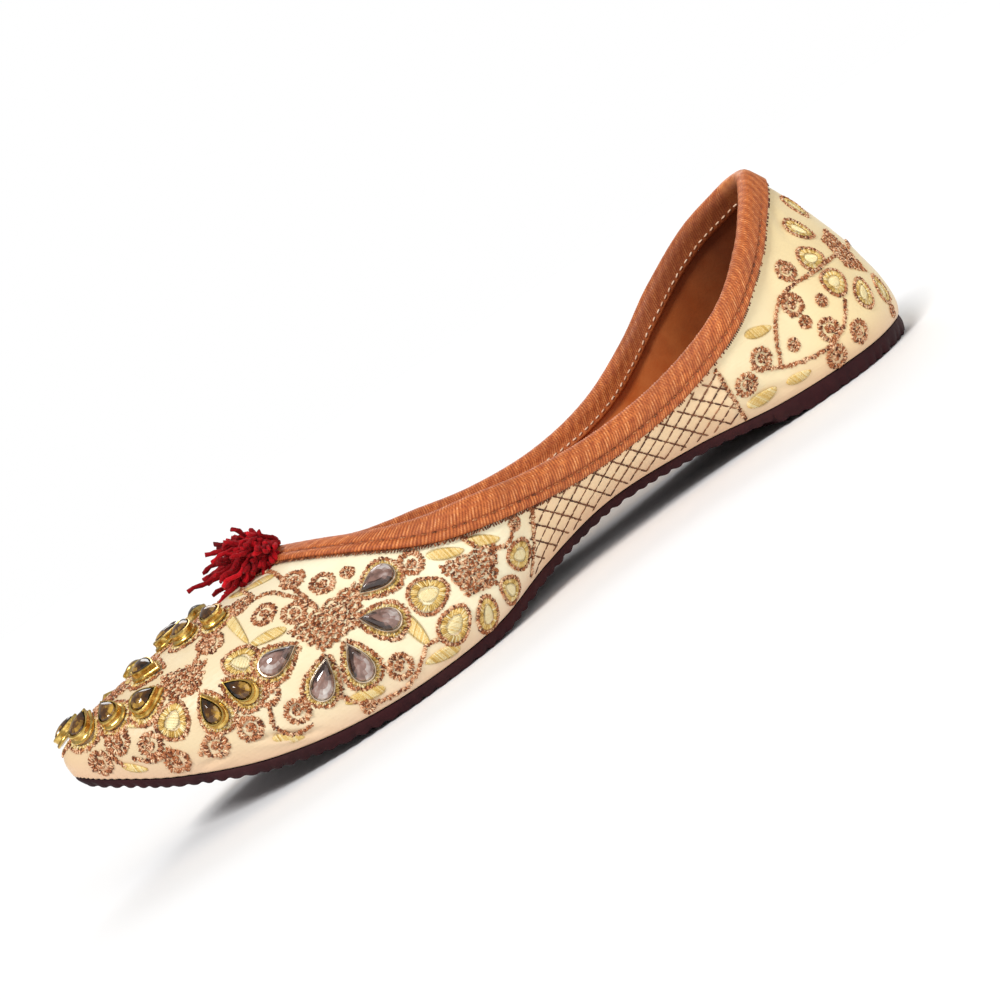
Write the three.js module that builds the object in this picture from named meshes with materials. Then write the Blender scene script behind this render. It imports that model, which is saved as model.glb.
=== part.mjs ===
// A mojari: a flat slip-on shoe of south asian dress, with a pointed toe that springs up,
// a low open topline, a dense ornament of set stones, and a yarn pompom at the throat.
// This is the right shoe of the pair. Millimetres. Z is up, the toe points to -Y, and +X is
// the inner (medial) side of the foot.
//
// Every piece comes from two closed rings. The feather ring is where the upper meets the
// sole, and the topline ring is the edge of the opening. At each place round the shoe a wall
// line runs from one ring to the other, and together the wall lines are the last's surface.
// A place round the shoe is a turn: 0 at the back of the heel, 1 at the tip of the toe after
// the medial side, and back to 2 at the heel after the lateral side.
import * as THREE from 'three';

// ---- driving sizes -----------------------------------------------------------------------
const LENGTH = 250;           // sole, back of the heel to the tip of the toe
const X_MIDDLE = 1.58;        // medial offset of the finished shoe's middle plane
const Y_MIDDLE = 124.45;      // the middle of the finished shoe, from the back of the heel
const GAP = 0.3;              // between two pieces that touch in the real shoe
const BINDING_GAP = 0.45;     // between the strip and the wall it is folded over
const WALL = 2.0;             // upper: outer cloth, paste layer and leather lining
const FOOT_OF_WALL = 2.3;     // the wall measured level, where it meets the sole
const LEVEL_CLIMB = 0.25;     // the part of a wall line over which level turns to square
const BINDING = 1.1;          // leather strip folded over the topline
const BINDING_OUTSIDE = 5.2;  // how far the strip reaches down the outer face
const BINDING_INSIDE = 5.0;   // and down the lining
const INSOLE = 2.2;           // padded insole sheet
const SOLE_CHAMFER = 0.7;     // the sole's lower edge, drawn in all round
const HEEL_FLAT_END = 47;     // the heel block stands flat up to here
const HEEL_BREAST = 57;       // and ends here, where the arch begins
const HEEL_BREAST_LIFT = 1.7; // height of the block's front lower edge
const BREAST_SLOPE = 0.6;     // length over which the block's front face runs up to the arch

// The last, section by section (along: distance from the back of the heel on the sole).
// medial, lateral: the sole's edges either side of the foot's middle plane.
// top, thick: height of the sole's upper face, and the sole's thickness under it.
// rim: the place along the topline that this section's wall lines reach.
// belly, rise: how far a wall line swells outward, and climbs, as it leaves the sole.
// reach, drop: how far its shoulder lies outside, and below, the topline.
const SECTIONS = [
  { along: 0, medial: -2, lateral: -2, top: 4.6, thick: 2.8, rim: 15.8,
    belly: 5, rise: 5.5, reach: 13, drop: 20 },
  { along: 8, medial: 16, lateral: -20, top: 4.5, thick: 2.8, rim: 20.5,
    belly: 5.5, rise: 6, reach: 10.6, drop: 19 },
  { along: 30, medial: 28, lateral: -31.4, top: 4.5, thick: 2.8, rim: 34,
    belly: 6, rise: 8, reach: 3.2, drop: 15 },
  { along: 55, medial: 26.2, lateral: -30.2, top: 5.6, thick: 2.8, rim: 56,
    belly: 6, rise: 8, reach: 0, drop: 10.5 },
  { along: 80, medial: 21.6, lateral: -25.2, top: 8.9, thick: 2.5, rim: 80,
    belly: 5, rise: 5, reach: 0, drop: 7 },
  { along: 108, medial: 19, lateral: -20.6, top: 9.8, thick: 2.4, rim: 106,
    belly: 4.5, rise: 5, reach: 0, drop: 6 },
  { along: 130, medial: 23.6, lateral: -24, top: 6.7, thick: 2.6, rim: 127,
    belly: 4.5, rise: 6, reach: 0.5, drop: 8 },
  { along: 150, medial: 34.6, lateral: -32.4, top: 3.6, thick: 3.1, rim: 144,
    belly: 7.5, rise: 9.5, reach: 3.4, drop: 9.5 },
  { along: 170, medial: 38.6, lateral: -36, top: 3, thick: 3.2, rim: 157,
    belly: 7.5, rise: 12, reach: 9, drop: 6 },
  { along: 190, medial: 37, lateral: -34.3, top: 4.1, thick: 3.1, rim: 166.5,
    belly: 8, rise: 15, reach: 19, drop: 4 },
  { along: 210, medial: 31.2, lateral: -28.4, top: 7.8, thick: 2.9, rim: 173,
    belly: 8, rise: 16, reach: 33, drop: 4 },
  { along: 230, medial: 21.6, lateral: -18.6, top: 15.6, thick: 2.6, rim: 177.2,
    belly: 7, rise: 15, reach: 48, drop: 4.5 },
  { along: 243, medial: 12.6, lateral: -8, top: 23.3, thick: 2.4, rim: 179.8,
    belly: 3.6, rise: 12, reach: 60, drop: 6 },
  { along: LENGTH, medial: 3.5, lateral: 3.5, top: 28.4, thick: 2.2, rim: 180.5,
    belly: 2, rise: 10.5, reach: 64, drop: 7 },
];

// The topline, from the heel peak to the throat: the upper's own edge, inside its binding.
// height: the medial side's. lateralRise: how much higher the lateral side stands.
const TOPLINE = [
  { along: 15.8, medial: 0.3, lateral: 0.3, height: 59, lateralRise: 0 },
  { along: 21, medial: 11, lateral: -10, height: 56.7, lateralRise: 0.9 },
  { along: 30, medial: 20.8, lateral: -20.8, height: 51.4, lateralRise: 2.3 },
  { along: 42, medial: 29.6, lateral: -30, height: 43.3, lateralRise: 2.8 },
  { along: 58, medial: 34, lateral: -35.4, height: 34, lateralRise: 1.8 },
  { along: 78, medial: 31.4, lateral: -34.4, height: 27.2, lateralRise: 0.7 },
  { along: 100, medial: 30.6, lateral: -32.4, height: 24.9, lateralRise: 0.1 },
  { along: 120, medial: 32.8, lateral: -32.2, height: 26.2, lateralRise: 0.1 },
  { along: 138, medial: 36.4, lateral: -31.4, height: 29.5, lateralRise: 0.5 },
  { along: 152, medial: 34, lateral: -27.6, height: 32.8, lateralRise: 0.9 },
  { along: 165, medial: 27.4, lateral: -19.6, height: 38, lateralRise: 0.9 },
  { along: 174, medial: 20, lateral: -11, height: 42.4, lateralRise: 0.6 },
  { along: 180.5, medial: 4.5, lateral: 4.5, height: 45.5, lateralRise: 0 },
];

// Set stones on the top of the vamp: drops whose tips point at the middle of their flower.
// across, along: place in plan, from the foot's middle plane and from the back of the heel.
const VAMP_FLOWERS = [
  { across: 4, along: 204.5,
    stones: [[16, 203.6], [11.2, 210], [3, 213.2], [-4.8, 210.6], [-8.2, 203.4]] },
  { across: 24, along: 215.2,
    stones: [[20.6, 226.8], [12.9, 222.6]] },
  { across: -16.1, along: 211.8,
    stones: [[-24.6, 202.4], [-18.8, 222.9], [-8.7, 222.9]] },
  { across: 2.6, along: 233.6,
    stones: [[13.9, 235], [8.9, 241.6], [2, 244.8], [-5.8, 241.4], [-10.6, 232.2]] },
];

// Two more stones hang below each of the middle flowers, on the side of the vamp.
// along, height: place on the wall, from the back of the heel and from the ground.
const HANGING_STONES = [
  { side: 1, middle: [215.2, 35], stones: [[209.2, 25.8], [216.6, 25.4]] },
  { side: -1, middle: [211.8, 38], stones: [[210, 28.4], [218, 29.6]] },
];

// Set stones low on each side, round a flower over the joint of the foot.
const SIDE_FLOWER = {
  middle: [183.7, 27.3],
  stones: [[198.6, 26.7], [193.1, 17.6], [184.6, 16.4], [174.9, 21.2], [170, 28.6]],
};
const VAMP_STONE = { length: 9.4, width: 7.4, height: 3.4 };
const HANGING_STONE = { length: 9.2, width: 6.2, height: 3.2 };
const SIDE_STONE = { length: 10.4, width: 6.6, height: 2.8 };
const STONE_SEAT = 1.5 * GAP; // a stone's flat back stands this far off the curved wall
const DROP_POINT = 1.3;       // how sharply a drop narrows to its point
const DROP_BULGE = 1.62;      // the widest place of the drop formula, before it is scaled

// A cut stone, from its back up: each ring's length, width and height as shares of the whole.
const STONE_RINGS = [
  { length: 1, width: 1, height: 0 },
  { length: 1, width: 1, height: 0.45 },
  { length: 0.8, width: 0.76, height: 0.85 },
  { length: 0.45, width: 0.4, height: 1 },
];

// The pompom: a tuft of yarn that lies on the vamp in front of the throat.
const POMPOM = { across: 6.2, along: 189.5, length: 21, width: 18, height: 13.5, lift: 2.1 };

// ---- how finely the surfaces are cut -----------------------------------------------------
const ROUND = 90;            // wall lines round the shoe
const WALL_STEPS = 10;       // faces up one wall line
const SOLE_STEPS = 48;       // faces from heel to toe
const SOLE_ACROSS = 4;       // and from edge to edge
const LEG_STEPS = 3;         // faces down each leg of the binding
const CROWN_PARTS = [0.25, 0.5, 0.75]; // points of the binding's round top, as shares of it
const STONE_SIDES = 10;
const POMPOM_SIDES = 16;
const POMPOM_BANDS = 10;
const LINE_DIVISIONS = 80;   // lengths summed to measure one wall line
const SAMPLE = 1e-3;         // small step used to measure a direction on a surface
const SAME_ROW = 0.004;      // turns closer than this would make slivers across the sole

// ---- where a stone is looked for on the wall ---------------------------------------------
const TURNS_TRIED = 40;
const CLIMBS_TRIED = 20;
const VAMP_TURNS = { from: 0.55, to: 1.45 };
const VAMP_CLIMBS = { from: 0.3, to: 1 };
const SIDE_TURNS = { from: 0.1, to: 0.7 }; // back from the toe, on either side
const SIDE_CLIMBS = { from: 0, to: 0.8 };
const FIRST_STEP = 0.02;
const LAST_STEP = 1e-5;
const MOVES_A_STEP = 4;

const UP = new THREE.Vector3(0, 0, 1);

// ---- curves through the rows of a table ---------------------------------------------------
// A smooth curve through (knot, value) pairs. At each knot its slope is that of the parabola
// through it and its two neighbours. The curve repeats after the given period.
function smoothCurve(pairs, period) {
  const sorted = [...pairs].sort((a, b) => a[0] - b[0]);
  const count = sorted.length;
  const knot = (i) => sorted[((i % count) + count) % count][0] + Math.floor(i / count) * period;
  const value = (i) => sorted[((i % count) + count) % count][1];
  const slope = (i) => {
    const before = knot(i) - knot(i - 1);
    const after = knot(i + 1) - knot(i);
    const rateBefore = (value(i) - value(i - 1)) / before;
    const rateAfter = (value(i + 1) - value(i)) / after;
    return (rateBefore * after + rateAfter * before) / (before + after);
  };
  return (at) => {
    const x = ((at - knot(0)) % period + period) % period + knot(0);
    let i = 0;
    while (knot(i + 1) < x) i += 1;
    const width = knot(i + 1) - knot(i);
    const t = (x - knot(i)) / width;
    const s = 1 - t;
    return value(i) * (1 + 2 * t) * s * s + value(i + 1) * (1 + 2 * s) * t * t
      + width * t * s * (slope(i) * s - slope(i + 1) * t);
  };
}

// The turn, from 0 to 1, at which a ring between two ends has reached a place along the foot.
// Near an end the turn grows as the square root of the distance, which makes the end round.
function turnAt(along, start, end) {
  const part = THREE.MathUtils.clamp((along - start) / (end - start), 0, 1);
  return Math.acos(1 - 2 * part) / Math.PI;
}

function alongAt(turn, start, end) {
  return start + (end - start) * (1 - Math.cos(Math.PI * turn)) / 2;
}

// Both halves of a ring: one column on the way out, another (or the same) on the way back.
function ringCurve(rows, turnOf, outward, homeward) {
  const pairs = [];
  rows.forEach((row, i) => {
    pairs.push([turnOf(row), outward(row)]);
    if (i > 0 && i < rows.length - 1) pairs.push([2 - turnOf(row), homeward(row)]);
  });
  return smoothCurve(pairs, 2);
}

const firstRow = TOPLINE[0];
const lastRow = TOPLINE[TOPLINE.length - 1];
const soleTurn = (row) => turnAt(row.along, 0, LENGTH);
const rimTurn = (row) => turnAt(row.along, firstRow.along, lastRow.along);
const evenColumn = (name) => ringCurve(SECTIONS, soleTurn, (row) => row[name], (row) => row[name]);

const soleAcross = ringCurve(SECTIONS, soleTurn, (row) => row.medial, (row) => row.lateral);
const soleTop = evenColumn('top');
const soleThick = evenColumn('thick');
const belly = evenColumn('belly');
const rise = evenColumn('rise');
const reach = evenColumn('reach');
const drop = evenColumn('drop');
const rimAcross = ringCurve(TOPLINE, rimTurn, (row) => row.medial, (row) => row.lateral);
const rimHeight = ringCurve(TOPLINE, rimTurn, (row) => row.height,
  (row) => row.height + row.lateralRise);
const rimColumn = (row) => turnAt(row.rim, firstRow.along, lastRow.along);
const rimTurnOf = ringCurve(SECTIONS, soleTurn, rimColumn, rimColumn);

function place(across, along, height) {
  return new THREE.Vector3(across - X_MIDDLE, Y_MIDDLE - along, height);
}

// ---- the two rings and the wall between them -----------------------------------------------
function featherPoint(turn) {
  return place(soleAcross(turn), alongAt(turn, 0, LENGTH), soleTop(turn) + GAP);
}

// Level direction out of the sole's outline.
function featherOutward(turn) {
  const ahead = featherPoint(turn + SAMPLE);
  const behind = featherPoint(turn - SAMPLE);
  return new THREE.Vector3(behind.y - ahead.y, ahead.x - behind.x, 0).normalize();
}

function rimPoint(turn) {
  const onRim = rimTurnOf(turn);
  const home = turn % 2 > 1 || turn < 0;
  const ring = home ? 2 - onRim : onRim;
  return place(rimAcross(ring), alongAt(onRim, firstRow.along, lastRow.along),
    rimHeight(ring));
}

function wallLine(turn) {
  const foot = featherPoint(turn);
  const head = rimPoint(turn);
  const outward = new THREE.Vector3(foot.x - head.x, foot.y - head.y, 0).normalize();
  const swell = foot.clone().addScaledVector(featherOutward(turn), belly(turn))
    .addScaledVector(UP, rise(turn));
  const shoulder = head.clone().addScaledVector(outward, reach(turn))
    .addScaledVector(UP, -drop(turn));
  return new THREE.CubicBezierCurve3(foot, swell, shoulder, head);
}

function wallPoint(turn, climb) {
  return wallLine(turn).getPoint(climb);
}

function wallNormal(turn, climb) {
  const low = Math.max(climb - SAMPLE, 0);
  const high = Math.min(climb + SAMPLE, 1);
  const upward = wallPoint(turn, high).sub(wallPoint(turn, low));
  const onward = wallPoint(turn + SAMPLE, climb).sub(wallPoint(turn - SAMPLE, climb));
  return upward.cross(onward).normalize();
}

// A point at a depth inside the wall's outer face (negative: outside it). At its foot the wall
// is cut level, so there the depth is measured level too.
function wallDepth(turn, climb, depth) {
  const free = THREE.MathUtils.smoothstep(climb, 0, LEVEL_CLIMB);
  const level = featherOutward(turn).multiplyScalar(depth * FOOT_OF_WALL / WALL);
  const square = wallNormal(turn, climb).multiplyScalar(depth);
  return wallPoint(turn, climb).sub(level.lerp(square, free));
}

// The climb at which a wall line is still the given length short of the topline.
function climbBelowRim(turn, length) {
  const line = wallLine(turn);
  line.arcLengthDivisions = LINE_DIVISIONS;
  return line.getUtoTmapping(1 - length / line.getLength());
}

// ---- closed skins ----------------------------------------------------------------------------
// Skins a row of closed loops that all have the same number of points. The last loop joins the
// first one if the row itself closes. Otherwise both ends are capped.
function skin(loops, rowCloses) {
  const positions = [];
  const faces = [];
  const indexOf = new Map();
  const corner = (point) => {
    const key = point.toArray().map((value) => value.toFixed(4)).join(' ');
    if (!indexOf.has(key)) {
      indexOf.set(key, positions.length / 3);
      positions.push(...point.toArray());
    }
    return indexOf.get(key);
  };
  const face = (a, b, c) => {
    if (a !== b && b !== c && c !== a) faces.push(a, b, c);
  };
  const rings = loops.map((loop) => loop.map(corner));
  const size = rings[0].length;
  const bands = rowCloses ? rings.length : rings.length - 1;
  for (let i = 0; i < bands; i += 1) {
    const here = rings[i];
    const next = rings[(i + 1) % rings.length];
    for (let j = 0; j < size; j += 1) {
      const k = (j + 1) % size;
      face(here[j], next[j], next[k]);
      face(here[j], next[k], here[k]);
    }
  }
  if (!rowCloses) {
    const first = rings[0];
    const last = rings[rings.length - 1];
    for (let j = 1; j < size - 1; j += 1) {
      face(first[0], first[j], first[j + 1]);
      face(last[0], last[j + 1], last[j]);
    }
  }
  if (enclosedVolume(positions, faces) < 0) faces.reverse();
  const geometry = new THREE.BufferGeometry();
  geometry.setAttribute('position', new THREE.Float32BufferAttribute(positions, 3));
  geometry.setIndex(faces);
  geometry.computeVertexNormals();
  return geometry;
}

function enclosedVolume(positions, faces) {
  let sixfold = 0;
  const point = (i) => new THREE.Vector3().fromArray(positions, faces[i] * 3);
  for (let i = 0; i < faces.length; i += 3) {
    sixfold += point(i).dot(point(i + 1).cross(point(i + 2)));
  }
  return sixfold / 6;
}

function evenSteps(count) {
  return Array.from({ length: count + 1 }, (_, i) => i / count);
}

function turnsRound() {
  return Array.from({ length: ROUND }, (_, i) => 2 * i / ROUND);
}

// ---- sole and insole ------------------------------------------------------------------------
// Turns of the rows across the sole. Two rows close together at the heel breast make its step.
function soleRows() {
  const breast = turnAt(HEEL_BREAST, 0, LENGTH);
  const rows = evenSteps(SOLE_STEPS).filter((turn) => Math.abs(turn - breast) > SAME_ROW);
  const flatEnd = turnAt(HEEL_FLAT_END, 0, LENGTH);
  const archStart = turnAt(HEEL_BREAST + BREAST_SLOPE, 0, LENGTH);
  return [...rows, flatEnd, breast, archStart].sort((a, b) => a - b);
}

function soleUnder(along, turn) {
  const under = Math.max(0, soleTop(turn) - soleThick(turn));
  if (along > HEEL_BREAST + GAP) return under;
  const past = Math.max(0, along - HEEL_FLAT_END) / (HEEL_BREAST - HEEL_FLAT_END);
  return HEEL_BREAST_LIFT * past;
}

// The sole's outline drawn in by an inset, on the medial (1) or the lateral (-1) side.
function soleEdge(turn, side, inset) {
  const at = side > 0 ? turn : 2 - turn;
  return featherPoint(at).addScaledVector(featherOutward(at), -inset);
}

// One loop across the foot: along the under face from lateral to medial, and back on top.
function slabLoop(turn, insetUnder, insetTop, heightUnder, heightTop) {
  const rowAcross = (inset, heightOf) => {
    const lateral = soleEdge(turn, -1, inset);
    const medial = soleEdge(turn, 1, inset);
    return evenSteps(SOLE_ACROSS).map((part) => {
      const point = lateral.clone().lerp(medial, part);
      point.z = heightOf(Y_MIDDLE - point.y, turnAt(Y_MIDDLE - point.y, 0, LENGTH));
      return point;
    });
  };
  return [...rowAcross(insetUnder, heightUnder), ...rowAcross(insetTop, heightTop).reverse()];
}

function outsoleGeometry() {
  const loops = soleRows().map((turn) => slabLoop(turn, SOLE_CHAMFER, 0,
    soleUnder, (along, at) => soleTop(at)));
  return skin(loops, false);
}

function insoleGeometry() {
  const inset = FOOT_OF_WALL + GAP;
  const loops = evenSteps(SOLE_STEPS).map((turn) => slabLoop(turn, inset, inset + GAP,
    (along, at) => soleTop(at) + GAP, (along, at) => soleTop(at) + GAP + INSOLE));
  return skin(loops, false);
}

// ---- upper and binding --------------------------------------------------------------------------
function upperGeometry() {
  const climbs = evenSteps(WALL_STEPS).map((part) => (part + alongAt(part, 0, 1)) / 2);
  const loops = turnsRound().map((turn) => [
    ...climbs.map((climb) => wallDepth(turn, climb, 0)),
    ...[...climbs].reverse().map((climb) => wallDepth(turn, climb, WALL)),
  ]);
  return skin(loops, true);
}

// The binding's section at one place: outer leg, round top, inner leg, and back under itself.
function bindingLoop(turn) {
  const legs = evenSteps(LEG_STEPS);
  const leg = (length, depth) => legs.map(
    (part) => wallDepth(turn, climbBelowRim(turn, length * (1 - part)), depth));
  const centre = wallDepth(turn, 1, WALL / 2);
  const out = wallNormal(turn, 1);
  const upward = wallPoint(turn, 1).sub(wallPoint(turn, 1 - SAMPLE)).normalize();
  const radius = WALL / 2 + BINDING_GAP + BINDING;
  const crown = CROWN_PARTS.map((part) => centre.clone()
    .addScaledVector(out, radius * Math.cos(Math.PI * part))
    .addScaledVector(upward, GAP + radius * Math.sin(Math.PI * part)));
  const ceiling = [WALL + BINDING_GAP, -BINDING_GAP].map((depth) => wallDepth(turn, 1, depth)
    .addScaledVector(upward, GAP));
  return [
    ...leg(BINDING_OUTSIDE, -BINDING_GAP - BINDING),
    ...crown,
    ...leg(BINDING_INSIDE, WALL + BINDING_GAP + BINDING).reverse(),
    ...leg(BINDING_INSIDE, WALL + BINDING_GAP).slice(0, -1),
    ...ceiling,
    ...leg(BINDING_OUTSIDE, -BINDING_GAP).slice(0, -1).reverse(),
  ];
}

function bindingGeometry() {
  return skin(turnsRound().map(bindingLoop), true);
}

// ---- set stones -------------------------------------------------------------------------------
// Finds the turn and climb where the wall's outer face best meets a wish, such as a place in
// plan. The wish gives a squared miss for a point. It starts on a coarse grid and closes in.
function findOnWall(turns, climbs, miss) {
  let best = { turn: turns[0], climb: climbs[0], miss: Infinity };
  const test = (turn, climb) => {
    const found = miss(wallPoint(turn, climb));
    if (found < best.miss) best = { turn, climb, miss: found };
  };
  turns.forEach((turn) => climbs.forEach((climb) => test(turn, climb)));
  for (let step = FIRST_STEP; step > LAST_STEP; step /= 2) {
    for (let move = 0; move < MOVES_A_STEP; move += 1) {
      const { turn, climb } = best;
      for (const [across, up] of [[1, 0], [-1, 0], [0, 1], [0, -1]]) {
        test(turn + across * step, THREE.MathUtils.clamp(climb + up * step, 0, 1));
      }
    }
  }
  return best;
}

function spaced(span, count) {
  return evenSteps(count).map((part) => span.from + (span.to - span.from) * part);
}

function findInPlan(across, along) {
  const wanted = place(across, along, 0);
  return findOnWall(spaced(VAMP_TURNS, TURNS_TRIED), spaced(VAMP_CLIMBS, CLIMBS_TRIED),
    (point) => (point.x - wanted.x) ** 2 + (point.y - wanted.y) ** 2);
}

// On the medial (1) or the lateral (-1) side of the shoe.
function findOnSide(along, height, side) {
  const turns = spaced(SIDE_TURNS, TURNS_TRIED).map((back) => 1 - side * back);
  return findOnWall(turns, spaced(SIDE_CLIMBS, CLIMBS_TRIED),
    (point) => (point.y - Y_MIDDLE + along) ** 2 + (point.z - height) ** 2);
}

// One loop of a drop: a round end behind, a point ahead, both from one formula.
function dropLoop(length, width, height) {
  return evenSteps(STONE_SIDES).slice(0, -1).map((part) => {
    const angle = 2 * Math.PI * part;
    const taper = Math.sin(angle / 2) ** DROP_POINT;
    return new THREE.Vector3(Math.cos(angle) * length / 2,
      Math.sin(angle) * taper * width / DROP_BULGE, height);
  });
}

// A set stone seated on the wall, with its point turned towards a place on the wall.
function stoneGeometry(seat, towards, size) {
  const foot = wallPoint(seat.turn, seat.climb);
  const normal = wallNormal(seat.turn, seat.climb);
  const ahead = wallPoint(towards.turn, towards.climb).sub(foot);
  ahead.addScaledVector(normal, -ahead.dot(normal)).normalize();
  const frame = new THREE.Matrix4().makeBasis(ahead, normal.clone().cross(ahead), normal);
  frame.setPosition(foot.addScaledVector(normal, STONE_SEAT));
  const loops = STONE_RINGS.map((ring) => dropLoop(size.length * ring.length,
    size.width * ring.width, size.height * ring.height));
  return skin(loops, false).applyMatrix4(frame);
}

// ---- pompom -----------------------------------------------------------------------------------
function pompomGeometry() {
  const { across, along, length, width, height, lift } = POMPOM;
  const seat = findInPlan(across, along);
  const ball = new THREE.SphereGeometry(0.5, POMPOM_SIDES, POMPOM_BANDS);
  ball.scale(width, length, height);
  const middle = wallPoint(seat.turn, seat.climb);
  ball.translate(middle.x, middle.y, middle.z + height / 2 + lift);
  return ball;
}

// ---- materials ---------------------------------------------------------------------------------
function material(colour, roughness, metalness = 0) {
  return new THREE.MeshStandardMaterial({ color: colour, roughness, metalness });
}

const silk = () => material(0xe9dcbc, 0.75);
const tanLeather = () => material(0xb07a45, 0.6);
const brownCloth = () => material(0x8c6a48, 0.85);
const brownRubber = () => material(0x3b221a, 0.7);
const amberGlass = () => material(0x7a4a1e, 0.15);
const smokyGlass = () => material(0x5b4a40, 0.15);
const redYarn = () => material(0xa32632, 0.9);

// ---- the shoe ------------------------------------------------------------------------------------
const group = new THREE.Group();
group.name = 'mojari_shoe';

function add(name, geometry, finish) {
  const mesh = new THREE.Mesh(geometry, finish);
  mesh.name = name;
  group.add(mesh);
}

// Stones are numbered in the order that they are sewn on.
function addStones(prefix, finish, stones) {
  stones.forEach(({ seat, towards, size }, i) => {
    const name = `${prefix}_${String(i + 1).padStart(2, '0')}`;
    add(name, stoneGeometry(seat, towards, size), finish());
  });
}

function vampStones() {
  const onTop = VAMP_FLOWERS.flatMap((flower) => flower.stones.map(([across, along]) => ({
    seat: findInPlan(across, along),
    towards: findInPlan(flower.across, flower.along),
    size: VAMP_STONE,
  })));
  const hanging = HANGING_STONES.flatMap(({ side, middle, stones }) => stones.map((spot) => ({
    seat: findOnSide(...spot, side),
    towards: findOnSide(...middle, side),
    size: HANGING_STONE,
  })));
  return [...onTop, ...hanging];
}

function sideStones() {
  return [1, -1].flatMap((side) => SIDE_FLOWER.stones.map((spot) => ({
    seat: findOnSide(...spot, side),
    towards: findOnSide(...SIDE_FLOWER.middle, side),
    size: SIDE_STONE,
  })));
}

add('outsole', outsoleGeometry(), brownRubber());
add('upper', upperGeometry(), silk());
add('insole', insoleGeometry(), brownCloth());
add('topline_binding', bindingGeometry(), tanLeather());
add('pompom', pompomGeometry(), redYarn());
addStones('vamp_stone', amberGlass, vampStones());
addStones('side_stone', smokyGlass, sideStones());

export default group;
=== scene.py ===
import math
import random

import bpy
import numpy as np
from mathutils import Matrix, Vector
from mathutils.kdtree import KDTree


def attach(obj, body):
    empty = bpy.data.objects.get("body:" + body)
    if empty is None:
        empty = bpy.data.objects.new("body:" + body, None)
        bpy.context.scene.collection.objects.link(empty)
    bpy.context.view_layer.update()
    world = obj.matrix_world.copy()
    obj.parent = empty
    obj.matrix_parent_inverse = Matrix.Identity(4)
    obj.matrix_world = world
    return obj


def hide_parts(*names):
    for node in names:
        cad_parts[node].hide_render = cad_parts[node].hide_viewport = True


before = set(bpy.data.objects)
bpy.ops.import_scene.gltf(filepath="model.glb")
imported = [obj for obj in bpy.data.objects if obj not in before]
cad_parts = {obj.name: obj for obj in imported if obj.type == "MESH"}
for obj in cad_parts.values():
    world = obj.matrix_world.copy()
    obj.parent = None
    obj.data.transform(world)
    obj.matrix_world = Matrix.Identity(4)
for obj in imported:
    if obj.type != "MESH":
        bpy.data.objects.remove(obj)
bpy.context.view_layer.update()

MM = 0.001
MERGE = 1e-6
dice = random.Random(11)

# ---- camera --------------------------------------------------------------------------------------
# It looks at the middle of the shoe from the inner side, a little ahead of square and a little above
# the topline's low point, and it is rolled, so that the heel stands up to the right.
LOOKED_AT = (0.0, 0.0, 0.0245)
VIEW_DISTANCE = 0.45
VIEW_TURN = 74.2
VIEW_RISE = 5.3
VIEW_ROLL = 33.4
VIEW_WIDTH = 32.0


def place_camera():
    turn = math.radians(VIEW_TURN)
    rise = math.radians(VIEW_RISE)
    roll = math.radians(VIEW_ROLL)
    back = Vector((math.sin(turn) * math.cos(rise), -math.cos(turn) * math.cos(rise), math.sin(rise)))
    level = Vector((0, 0, 1)).cross(back).normalized()
    upright = back.cross(level)
    right = level * math.cos(roll) - upright * math.sin(roll)
    up = level * math.sin(roll) + upright * math.cos(roll)
    turned = Matrix((right, up, back)).transposed().to_4x4()
    bpy.ops.object.camera_add()
    camera = bpy.context.active_object
    camera.name = "camera"
    camera.matrix_world = Matrix.Translation(Vector(LOOKED_AT) + back * VIEW_DISTANCE) @ turned
    camera.data.angle = math.radians(VIEW_WIDTH)
    camera.data.clip_start = 0.01
    bpy.context.scene.camera = camera


place_camera()

# ---- the shoe's sizes ----------------------------------------------------------------------------
LENGTH = 250.0
X_MIDDLE = 1.58
Y_MIDDLE = 124.45
GAP = 0.3
BINDING_GAP = 0.45
WALL = 2.0
FOOT_OF_WALL = 2.3
SILK = 0.95              # thickness of the outer cloth, and the lining has the rest of the wall
BINDING = 1.1
BINDING_OUTSIDE = 5.2
BINDING_INSIDE = 5.0
INSOLE = 2.2
SOLE_CHAMFER = 0.7
HEEL_FLAT_END = 47.0
HEEL_BREAST = 57.0
HEEL_BREAST_LIFT = 1.7
SAMPLE = 1e-3

SECTION_COLUMNS = ("along", "medial", "lateral", "top", "thick", "rim", "belly", "rise", "reach", "drop")
SECTIONS = [
    (0, -2, -2, 4.6, 2.8, 15.8, 5, 5.5, 13, 20),
    (8, 16, -20, 4.5, 2.8, 20.5, 5.5, 6, 10.6, 19),
    (30, 28, -31.4, 4.5, 2.8, 34, 6, 8, 3.2, 15),
    (55, 26.2, -30.2, 5.6, 2.8, 56, 6, 8, 0, 10.5),
    (80, 21.6, -25.2, 8.9, 2.5, 80, 5, 5, 0, 7),
    (108, 19, -20.6, 9.8, 2.4, 106, 4.5, 5, 0, 6),
    (130, 23.6, -24, 6.7, 2.6, 127, 4.5, 6, 0.5, 8),
    (150, 34.6, -32.4, 3.6, 3.1, 144, 7.5, 9.5, 3.4, 9.5),
    (170, 38.6, -36, 3, 3.2, 157, 7.5, 12, 9, 6),
    (190, 37, -34.3, 4.1, 3.1, 166.5, 8, 15, 19, 4),
    (210, 31.2, -28.4, 7.8, 2.9, 173, 8, 16, 33, 4),
    (230, 21.6, -18.6, 15.6, 2.6, 177.2, 7, 15, 48, 4.5),
    (243, 12.6, -8, 23.3, 2.4, 179.8, 3.6, 12, 60, 6),
    (LENGTH, 3.5, 3.5, 28.4, 2.2, 180.5, 2, 10.5, 64, 7),
]
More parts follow.
